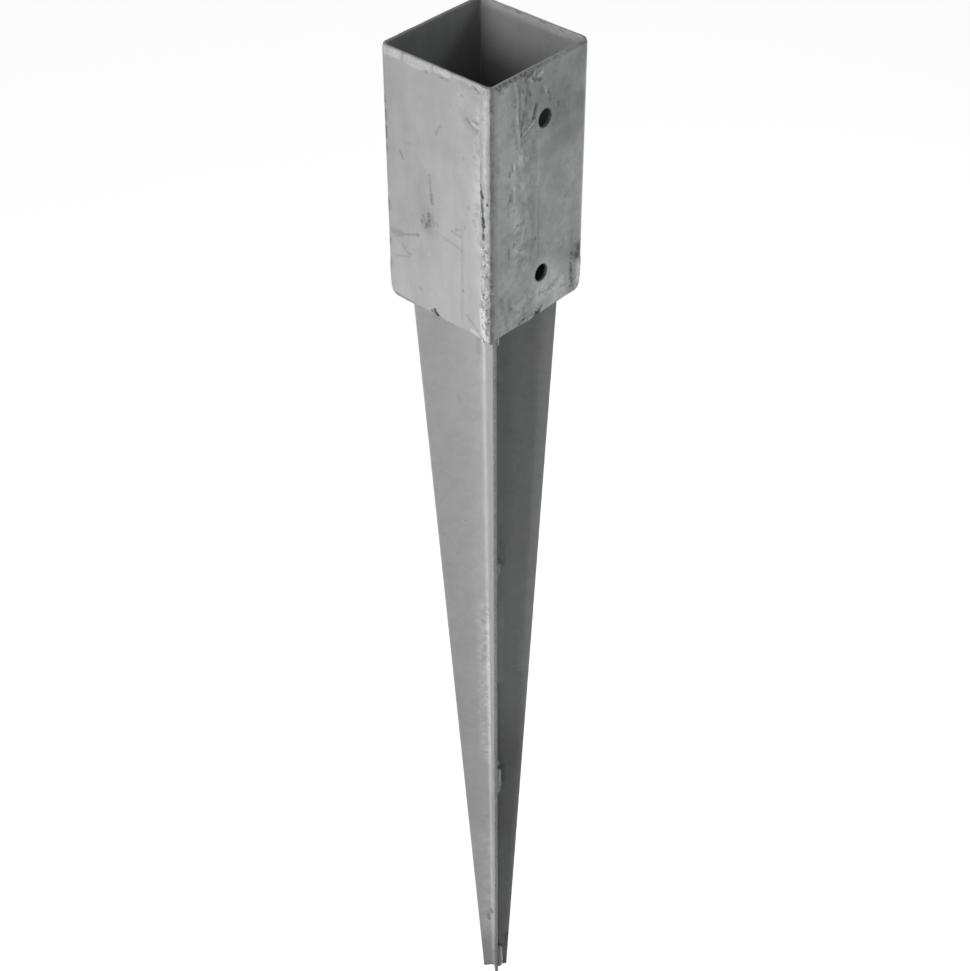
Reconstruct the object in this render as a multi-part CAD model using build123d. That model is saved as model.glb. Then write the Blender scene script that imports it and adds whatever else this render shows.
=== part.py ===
from build123d import *
import math
import os

# A hot-dip galvanised drive-in post spike for a square timber post, in millimetres.
# The origin is on the spike's axis in the underside of the sleeve, at ground level, and +Z points up.
# The walls of the sleeve face along X and Y, and the four fins of the spike run near its diagonals.

# Sleeve
post_width = 70.0  # the square post that the sleeve takes
post_clearance = 0.5  # between the post and each wall
sheet = 2.0  # steel sheet of the sleeve and its base
sleeve_height = 150.0  # from the underside of the base to the rim
wall_bend = 1.5  # inside radius of the vertical bends
base_bend = 1.0  # inside radius of the bends along the bottom
corner_round = 7.0  # radius that the lower corners are hammered and ground to
drain_width = 10.0  # square drain hole between the cropped tips of the base flaps
mitre_gap = 1.2  # between neighbouring base flaps, along the diagonals
mitre_rise = 16.0  # how far a mitre gap runs up its corner
notch_width = 6.0  # jig notch in the middle of each bottom fold
notch_rise = 3.4
notch_depth = 5.0

# Bolt holes through the front wall and the back wall
hole_diameter = 11.0
hole_drop = 31.5  # from the rim down to the upper holes
hole_spacing = 92.0  # from the upper hole down to the lower one
hole_offset = 2.0  # how far the pattern of holes lies along the flat sheet, off the middle of each wall

# Seam weld on the sleeve, and the weld beads on its lower corners
seam_gap = 1.0  # between the sheet's two ends
seam_radius = 2.4  # roundness of the bead's cap
seam_proud = 0.7  # how far the cap stands out of the wall
seam_drop = 1.2  # how far the bead hangs below the base
corner_bead_width = 4.2
corner_bead_proud = 0.7
corner_bead_rise = 22.0  # top end of a corner bead above the base
corner_bead_stop = 0.2  # from the inner end of a corner bead to the fin's outer edge
corner_bead_rim = 0.63  # radius that a corner bead's rim is rounded by

# Spike: two folded sheets back to back
blade_sheet = 2.0  # steel sheet of the blades
spike_length = 600.0
fin_spread = 2.5  # under the base, a fin reaches this much further from the axis than a wall does
fin_tip = 8.3  # the same at the flat tip
blade_bend = 2.0  # inside radius of a blade's fold
blade_gap = 0.2  # between the two folds, back to back
spike_turn = 4.0  # degrees that the spike is welded on, off the sleeve's diagonals
spike_lean = 0.56  # degrees that it leans out of line with the sleeve, towards the right corner
blade_spare = 1.0  # length left on the blades' tops, trimmed flush to the base once the spike leans

# Welds between the blades, and between the blades and the base
tack_count = 4  # down each groove between the blades
tack_length = 22.0
tack_radius = 2.4
tack_seat = 3.7  # from the axis to the middle of a tack
tack_first = 13.0  # from the base down to the middle of the first tack
tack_end = 12.0  # from the middle of the last tack down to the tip
fillet_leg = 3.6  # leg of the welds under the base
fillet_length = 20.0
fillet_inset = 2.0  # from a fin's outer edge in to the weld's end
run_length = 12.5  # how far the end of the front weld has run down its fin
run_radius = 2.0

inside = post_width + 2 * post_clearance
outside = inside + 2 * sheet
half_outside = outside / 2
hole_top = sleeve_height - hole_drop
fin_top = half_outside + fin_spread
wall_outer_bend = wall_bend + sheet
base_outer_bend = base_bend + sheet
blade_outer_bend = blade_bend + blade_sheet
reach = 2 * outside  # longer than the sleeve is wide, for cutting tools

# Distance from the axis to the outside of a vertical corner bend, along the diagonal
corner_reach = math.sqrt(2) * half_outside - (math.sqrt(2) - 1) * wall_outer_bend

# Directions of the sleeve's corners, and of the fins before the spike is turned, in degrees from +X
front_corner = 225.0
plain_corners = {"left": 135.0, "right": 315.0, "back": 45.0}
fins = {"front": front_corner, **plain_corners}

# Where the spike sits: turned about its axis, then leant about the line through the front corner
spike_turned = Rot(0, 0, spike_turn)
spike_seat = Rot(0, 0, front_corner) * Rot(spike_lean, 0, 0) * Rot(0, 0, -front_corner) * spike_turned


def folded_box(width, floor, top, wall_radius, floor_radius):
    """A square block with rounded upright edges and rounded bottom edges."""
    block = Pos(0, 0, floor) * Box(width, width, top - floor, align=(Align.CENTER, Align.CENTER, Align.MIN))
    block = fillet(block.edges().filter_by(Axis.Z), wall_radius)
    return fillet(block.faces().sort_by(Axis.Z)[0].edges(), floor_radius)


def corner_profile(grow, width):
    """The outline of a lower corner in its diagonal plane, as a slab across the diagonal.

    The slab lies along +X, is width wide, and grow is how far it stands out of the corner.
    """
    outer = corner_reach + grow
    radius = corner_round + grow
    with BuildSketch(Plane.XZ) as side:
        with BuildLine():
            Polyline((0, -grow), (outer - radius, -grow))
            RadiusArc((outer - radius, -grow), (outer, radius - grow), -radius)
            Polyline((outer, radius - grow), (outer, 2 * sleeve_height), (0, 2 * sleeve_height), (0, -grow))
        make_face()
    return extrude(side.sketch, width / 2, both=True)


def sleeve_envelope():
    """The outside of the sleeve, with its three plain lower corners rounded off."""
    block = folded_box(outside, 0, sleeve_height, wall_outer_bend, base_outer_bend)
    for angle in plain_corners.values():
        keep = corner_profile(0, reach) + Pos(-reach / 2, 0, sleeve_height) * Box(reach, reach, 2 * reach)
        block = block & (Rot(0, 0, angle) * keep)
    return block


def sleeve_cavity():
    """The space that the post fills, open at the rim."""
    return folded_box(inside, sheet, sleeve_height + sheet, wall_bend, base_bend)


def mitre_slot(angle, rise):
    """The gap between two base flaps, from the drain hole out through the lower corner."""
    slot = Box(reach, mitre_gap, sheet + rise, align=(Align.MIN, Align.CENTER, Align.MIN))
    return Rot(0, 0, angle) * Pos(0, 0, -sheet) * slot


def jig_notch(angle):
    """A small three-cornered notch in the middle of a bottom fold."""
    with BuildSketch(Plane.YZ) as outline:
        Polygon((-notch_width / 2, -sheet), (notch_width / 2, -sheet), (0, notch_rise), align=None)
    cutter = Pos(half_outside - notch_depth, 0, 0) * extrude(outline.sketch, 2 * notch_depth)
    return Rot(0, 0, angle) * cutter


def bolt_holes(height):
    """Cutters that pierce the front wall and the back wall at one height.

    The sheet runs round the post, so the same slip of its holes moves the two pairs opposite ways.
    """
    drill = Rot(90, 0, 0) * Cylinder(hole_diameter / 2, 4 * sheet)
    return [Pos(-side * hole_offset, side * half_outside, height) * drill for side in (-1, 1)]


# The seam lies on the left wall, just before the bend of the front corner
seam_y = -(half_outside - wall_outer_bend)


def seam_slot():
    """The gap that the sheet's two ends leave, full height."""
    slot = Box(2 * sheet, seam_gap, 2 * sleeve_height)
    return Pos(-half_outside + sheet / 2, seam_y, sleeve_height / 2) * slot


def make_sleeve():
    """One sheet folded round the post, closed below by four mitred flaps."""
    sleeve = sleeve_envelope() - sleeve_cavity()
    sleeve -= Pos(0, 0, sheet / 2) * Box(drain_width, drain_width, 3 * sheet)
    for angle in plain_corners.values():
        sleeve -= mitre_slot(angle, mitre_rise)
    sleeve -= mitre_slot(front_corner, base_outer_bend)
    for turn in range(4):
        sleeve -= jig_notch(90 * turn)
    for height in (hole_top, hole_top - hole_spacing):
        for drill in bolt_holes(height):
            sleeve -= drill
    return sleeve - seam_slot()


def corner_bead(angle, sleeve):
    """A weld bead that closes a mitre gap up its corner and in under the base, as far as the fin."""
    inner_end = fin_top + corner_bead_stop
    block = Box(reach, reach, corner_bead_rise + 2 * sheet, align=(Align.MIN, Align.CENTER, Align.MIN))
    bead = corner_profile(corner_bead_proud, corner_bead_width) & (Pos(inner_end, 0, -2 * sheet) * block)

    # The rim of the bead is each edge that only one of its outer faces has
    outer_faces = bead.faces().filter_by(lambda face: face.normal_at().dot(Vector(1, 0, -1)) > 0.5)
    outer_edges = [edge for face in outer_faces for edge in face.edges()]
    rim = [edge for edge in outer_edges if sum(edge.is_same(other) for other in outer_edges) == 1]
    bead = fillet(rim, corner_bead_rim)
    return Rot(0, 0, angle) * bead - sleeve - sleeve_cavity()


def make_seam_weld(sleeve):
    """The long bead that joins the sheet's two ends, run over the front lower corner."""
    cap_x = -half_outside - seam_proud + seam_radius
    upright = (Align.CENTER, Align.CENTER, Align.MIN)
    bead = Pos(cap_x, seam_y, 0) * Cylinder(seam_radius, sleeve_height, align=upright)
    bead += Pos(cap_x, seam_y, 0) * Sphere(seam_radius)
    bead += Rot(0, 0, front_corner) * Pos(corner_reach - seam_radius, 0, seam_radius - seam_drop) * Sphere(seam_radius)
    return bead - sleeve - sleeve_cavity()


def spike_taper():
    """A square taper whose sides cut the outer edges of the four fins."""
    slope = (fin_top - fin_tip) / spike_length
    root = fin_top + slope * blade_spare
    top = Pos(0, 0, blade_spare) * Rectangle(2 * root, 2 * root)
    tip = Pos(0, 0, -spike_length) * Rectangle(2 * fin_tip, 2 * fin_tip)
    return loft([tip, top])


def make_blade(angle):
    """A tapered sheet folded at right angles, with its fold on the axis and its fins opening to the angle."""
    size = 2 * fin_top
    outline_opens = 45.0
    with BuildSketch() as outline:
        Polygon(
            (0, 0), (size, 0), (size, blade_sheet), (blade_sheet, blade_sheet), (blade_sheet, size), (0, size),
            align=None,
        )
        fillet(outline.vertices().sort_by_distance((0, 0))[0], blade_outer_bend)
        fillet(outline.vertices().sort_by_distance((blade_sheet, blade_sheet))[0], blade_bend)
    # The back of the fold stands half the gap off the axis
    shift = (blade_gap / 2 - (math.sqrt(2) - 1) * blade_outer_bend) / math.sqrt(2)
    fold = Pos(shift, shift, -spike_length) * extrude(outline.sketch, spike_length + blade_spare)
    blade = spike_seat * Rot(0, 0, angle - outline_opens) * (fold & spike_taper())
    below_base = Box(reach, reach, 2 * spike_length, align=(Align.CENTER, Align.CENTER, Align.MAX))
    return blade & below_base


def ridge_tack(angle, height, blades):
    """A short weld in a groove between the two folds."""
    straight = tack_length - 2 * tack_radius
    tack = Cylinder(tack_radius, straight)
    tack += Pos(0, 0, straight / 2) * Sphere(tack_radius)
    tack += Pos(0, 0, -straight / 2) * Sphere(tack_radius)
    tack = spike_seat * Rot(0, 0, angle) * Pos(tack_seat, 0, height) * tack
    for blade in blades:
        tack -= blade
    return tack


def base_fillet(angle, blades, sleeve, run_down=0):
    """A weld along the top of a fin, on one side of it, under the base. Its end may have run down the fin."""
    face = blade_sheet / 2
    outer_end = fin_top - fillet_inset
    straight = fillet_length - 2 * fillet_leg
    weld = Rot(0, 90, 0) * Cylinder(fillet_leg, straight)
    weld += Pos(straight / 2, 0, 0) * Sphere(fillet_leg)
    weld += Pos(-straight / 2, 0, 0) * Sphere(fillet_leg)
    weld = Pos(outer_end - fillet_length / 2, face, 0) * weld
    if run_down:
        drop = run_down - run_radius
        run = Pos(0, 0, -drop / 2) * Cylinder(run_radius, drop) + Pos(0, 0, -drop) * Sphere(run_radius)
        weld += Pos(outer_end - run_radius, face, 0) * run
    half = Box(reach, reach, reach, align=(Align.CENTER, Align.MIN, Align.MAX))
    weld = spike_turned * Rot(0, 0, angle) * (weld & half)
    for blade in blades:
        weld -= blade
    return weld - sleeve


def single(shape):
    """The largest solid of a shape, without crumbs that a cut leaves."""
    return shape.solids().sort_by(SortBy.VOLUME)[-1]


def make_parts():
    """Every piece of the spike by its name."""
    sleeve = make_sleeve()
    blades = [make_blade(180), make_blade(0)]
    parts = {"sleeve": sleeve, "blade_left": blades[0], "blade_right": blades[1]}
    parts["seam_weld"] = make_seam_weld(sleeve)
    for name, angle in plain_corners.items():
        parts[f"corner_weld_{name}"] = corner_bead(angle, sleeve)
    for name, angle in fins.items():
        run_down = run_length if name == "front" else 0
        parts[f"base_weld_{name}"] = base_fillet(angle, blades, sleeve, run_down)
    step = (spike_length - tack_first - tack_end) / (tack_count - 1)
    for side, angle in (("front", 270), ("back", 90)):
        for number in range(tack_count):
            height = -tack_first - step * number
            parts[f"ridge_tack_{side}_{number + 1}"] = ridge_tack(angle, height, blades)
    return {name: single(shape) for name, shape in parts.items()}


os.makedirs("parts", exist_ok=True)
for part_name, part_shape in make_parts().items():
    export_step(part_shape, f"parts/{part_name}.step")
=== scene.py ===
import math
import random

import bmesh
import bpy
import numpy as np
from mathutils import Matrix, Vector, noise


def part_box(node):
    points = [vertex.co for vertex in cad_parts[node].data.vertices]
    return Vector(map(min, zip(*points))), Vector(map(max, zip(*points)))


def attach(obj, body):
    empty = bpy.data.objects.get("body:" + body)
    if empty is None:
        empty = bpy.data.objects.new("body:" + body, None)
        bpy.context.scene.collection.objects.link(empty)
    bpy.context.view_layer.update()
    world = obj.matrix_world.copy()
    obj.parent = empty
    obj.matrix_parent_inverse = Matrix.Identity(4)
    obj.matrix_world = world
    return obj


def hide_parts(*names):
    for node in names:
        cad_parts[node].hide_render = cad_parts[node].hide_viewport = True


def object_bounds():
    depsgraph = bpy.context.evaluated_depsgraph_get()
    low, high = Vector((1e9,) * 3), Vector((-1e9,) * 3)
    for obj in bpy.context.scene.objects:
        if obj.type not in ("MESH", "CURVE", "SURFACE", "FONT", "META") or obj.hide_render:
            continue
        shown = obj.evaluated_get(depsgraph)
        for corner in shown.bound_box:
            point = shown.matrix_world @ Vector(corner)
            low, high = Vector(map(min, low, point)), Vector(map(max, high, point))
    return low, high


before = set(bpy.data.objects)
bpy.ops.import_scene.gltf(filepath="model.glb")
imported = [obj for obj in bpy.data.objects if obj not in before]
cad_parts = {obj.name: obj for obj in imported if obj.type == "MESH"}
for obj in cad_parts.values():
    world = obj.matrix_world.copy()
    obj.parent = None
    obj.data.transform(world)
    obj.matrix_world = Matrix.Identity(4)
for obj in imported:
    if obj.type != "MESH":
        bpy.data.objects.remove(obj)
cad_low, cad_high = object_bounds()

# Sleeve
# One sheet of steel, folded round the post and closed below by four flaps folded in from its walls.
# The dip in molten zinc rounds every sheared edge, and leaves lumps and a long run on the right wall.
sleeve_low, sleeve_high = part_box("sleeve")
mm = 0.001
outside = sleeve_high.x - sleeve_low.x
wall = outside / 2
height = sleeve_high.z
sheet = 2.0 * mm
corner_bend = 3.5 * mm
base_bend = 3.0 * mm
corner_round = 7.0 * mm
top_round = 2.2 * mm
corner_reach = math.sqrt(2) * wall - (math.sqrt(2) - 1) * corner_bend
front, left, right, back = (math.radians(angle) for angle in (225, 135, 315, 45))
coarse_net = 2.6 * mm
fine_cuts = 1
mark_cuts = 2
rim_band = 13.0 * mm
streak_cuts = 3
run_reach = 1.6
mark_margin = 0.7
rim_round = 0.9 * mm
hair = 0.01 * mm
sharp = 1.0
hole_heights = (118.4 * mm, 26.8 * mm)
hole_slips = {-1: (3.4 * mm, 2.6 * mm), 1: (-2.0 * mm, -2.0 * mm)}
hole_radius = 5.3 * mm
hole_squeeze = 0.9
notch_width = 6.0 * mm
notch_rise = 4.4 * mm
punch_depth = 10.0 * mm
punch_stretch = 1.15
mitre_gap = 1.2 * mm
mitre_rise = 16.0 * mm
saw_start = 6.0 * mm
drain_width = 10.0 * mm


def across(angle):
    """The level direction at an angle from +X."""
    return Vector((math.cos(angle), math.sin(angle), 0))


def edit(piece):
    """Opens one piece in edit mode with nothing else selected."""
    if bpy.context.object and bpy.context.object.mode != "OBJECT":
        bpy.ops.object.mode_set(mode="OBJECT")
    bpy.ops.object.select_all(action="DESELECT")
    bpy.context.view_layer.objects.active = piece
    piece.select_set(True)
    bpy.ops.object.mode_set(mode="EDIT")


def choose(kind, wanted):
    """Selects the verts, edges or faces of the piece in edit mode that pass a test."""
    piece = bpy.context.object
    bpy.ops.mesh.select_mode(type=kind)
    bpy.ops.mesh.select_all(action="DESELECT")
    mesh = bmesh.from_edit_mesh(piece.data)
    for part in {"VERT": mesh.verts, "EDGE": mesh.edges, "FACE": mesh.faces}[kind]:
        if wanted(part):
            part.select_set(True)
    bmesh.update_edit_mesh(piece.data)


def done():
    bpy.ops.object.mode_set(mode="OBJECT")
    return bpy.context.object


def added(name):
    """Names the primitive just added and puts its size and place in its mesh."""
    piece = bpy.context.object
    piece.name = name
    bpy.ops.object.select_all(action="DESELECT")
    piece.select_set(True)
    bpy.ops.object.transform_apply(location=True, rotation=True, scale=True)
    return piece


def put(piece, place):
    """Turns and moves a piece by a matrix, in its mesh."""
    bpy.ops.object.select_all(action="DESELECT")
    bpy.context.view_layer.objects.active = piece
    piece.select_set(True)
    piece.matrix_world = place @ piece.matrix_world
    bpy.ops.object.transform_apply(location=True, rotation=True, scale=True)
    return piece


def apply_modifier(piece, kind, **settings):
    bpy.context.view_layer.objects.active = piece
    modifier = piece.modifiers.new(kind.title(), kind)
    for name, value in settings.items():
        setattr(modifier, name, value)
    bpy.ops.object.modifier_apply(modifier=modifier.name)


def joined(pieces):
    bpy.ops.object.select_all(action="DESELECT")
    for piece in pieces:
        piece.select_set(True)
    bpy.context.view_layer.objects.active = pieces[0]
    if len(pieces) > 1:
        bpy.ops.object.join()
    return pieces[0]


def cut(piece, cutters):
    """Cuts pieces out of another and throws them away."""
    cutter = joined(cutters)
    apply_modifier(piece, "BOOLEAN", object=cutter, operation="DIFFERENCE", solver="EXACT")
    bpy.data.objects.remove(cutter)


def smooth(piece, degrees):
    bpy.ops.object.select_all(action="DESELECT")
    bpy.context.view_layer.objects.active = piece
    piece.select_set(True)
    bpy.ops.object.shade_smooth_by_angle(angle=math.radians(degrees))


def run_of(edge):
    """The direction of an edge, as the letter of the axis it lies along, or nothing."""
    step = edge.verts[1].co - edge.verts[0].co
    for letter, share in zip("xyz", step):
        if abs(abs(share) - step.length) < hair:
            return letter
    return None


bpy.ops.mesh.primitive_cube_add(size=1, location=(0, 0, height / 2), scale=(outside, outside, height))
sleeve = added("galvanised_sleeve")
edit(sleeve)
choose("EDGE", lambda edge: run_of(edge) == "z")
bpy.ops.mesh.bevel(offset=corner_bend, segments=6, affect="EDGES")
choose("FACE", lambda face: face.normal.z > 0.9)
bpy.ops.mesh.delete(type="FACE")
choose("EDGE", lambda edge: all(vert.co.z < hair for vert in edge.verts))
bpy.ops.mesh.bevel(offset=base_bend, segments=4, affect="EDGES")
for letter in "zxy":
    choose("EDGE", lambda edge: run_of(edge) == letter and edge.calc_length() > corner_bend * 2)
    span = height if letter == "z" else outside - 2 * corner_bend
    bpy.ops.mesh.subdivide(number_cuts=round(span / coarse_net) - 1)
done()
apply_modifier(sleeve, "SOLIDIFY", thickness=sheet, offset=-1, use_even_offset=True)
edit(sleeve)
choose("EDGE", lambda edge: len(edge.link_faces) == 2 and edge.calc_face_angle() > sharp
       and all(vert.co.z > height - hair for vert in edge.verts))
bpy.ops.mesh.bevel(offset=rim_round, segments=4, affect="EDGES")


def faces_out(face):
    """True for the outer faces of the two walls beside the seam."""
    middle = face.calc_center_median()
    outward = face.normal.x * middle.x + face.normal.y * middle.y > 0.3 * wall
    return outward and min(face.normal.x, face.normal.y) < -0.3


def away_from(places, start, end):
    """How far each place is from a straight run between two points, in the same unit."""
    start, run = np.array(start, float), np.array(end, float) - np.array(start, float)
    along = np.clip((places - start) @ run / max(run @ run, 1e-9), 0, 1)
    return np.linalg.norm(places - start - along[:, None] * run, axis=1)


def left_wall(y, z):
    """A point of the outer face of the left wall, in millimetres."""
    return (-wall / mm, y, z)


def right_wall(x, z):
    return (x, -wall / mm, z)


def inner_wall(y, z):
    """A point of the inner face of the wall opposite the left one."""
    return (wall / mm - 2, y, z)


def marks_on(point_of, rows):
    """Marks on a flat side, from rows of both ends' places on it, width, core and strength."""
    return [(point_of(*row[:2]), point_of(*row[2:4]), *row[4:]) for row in rows]


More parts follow.
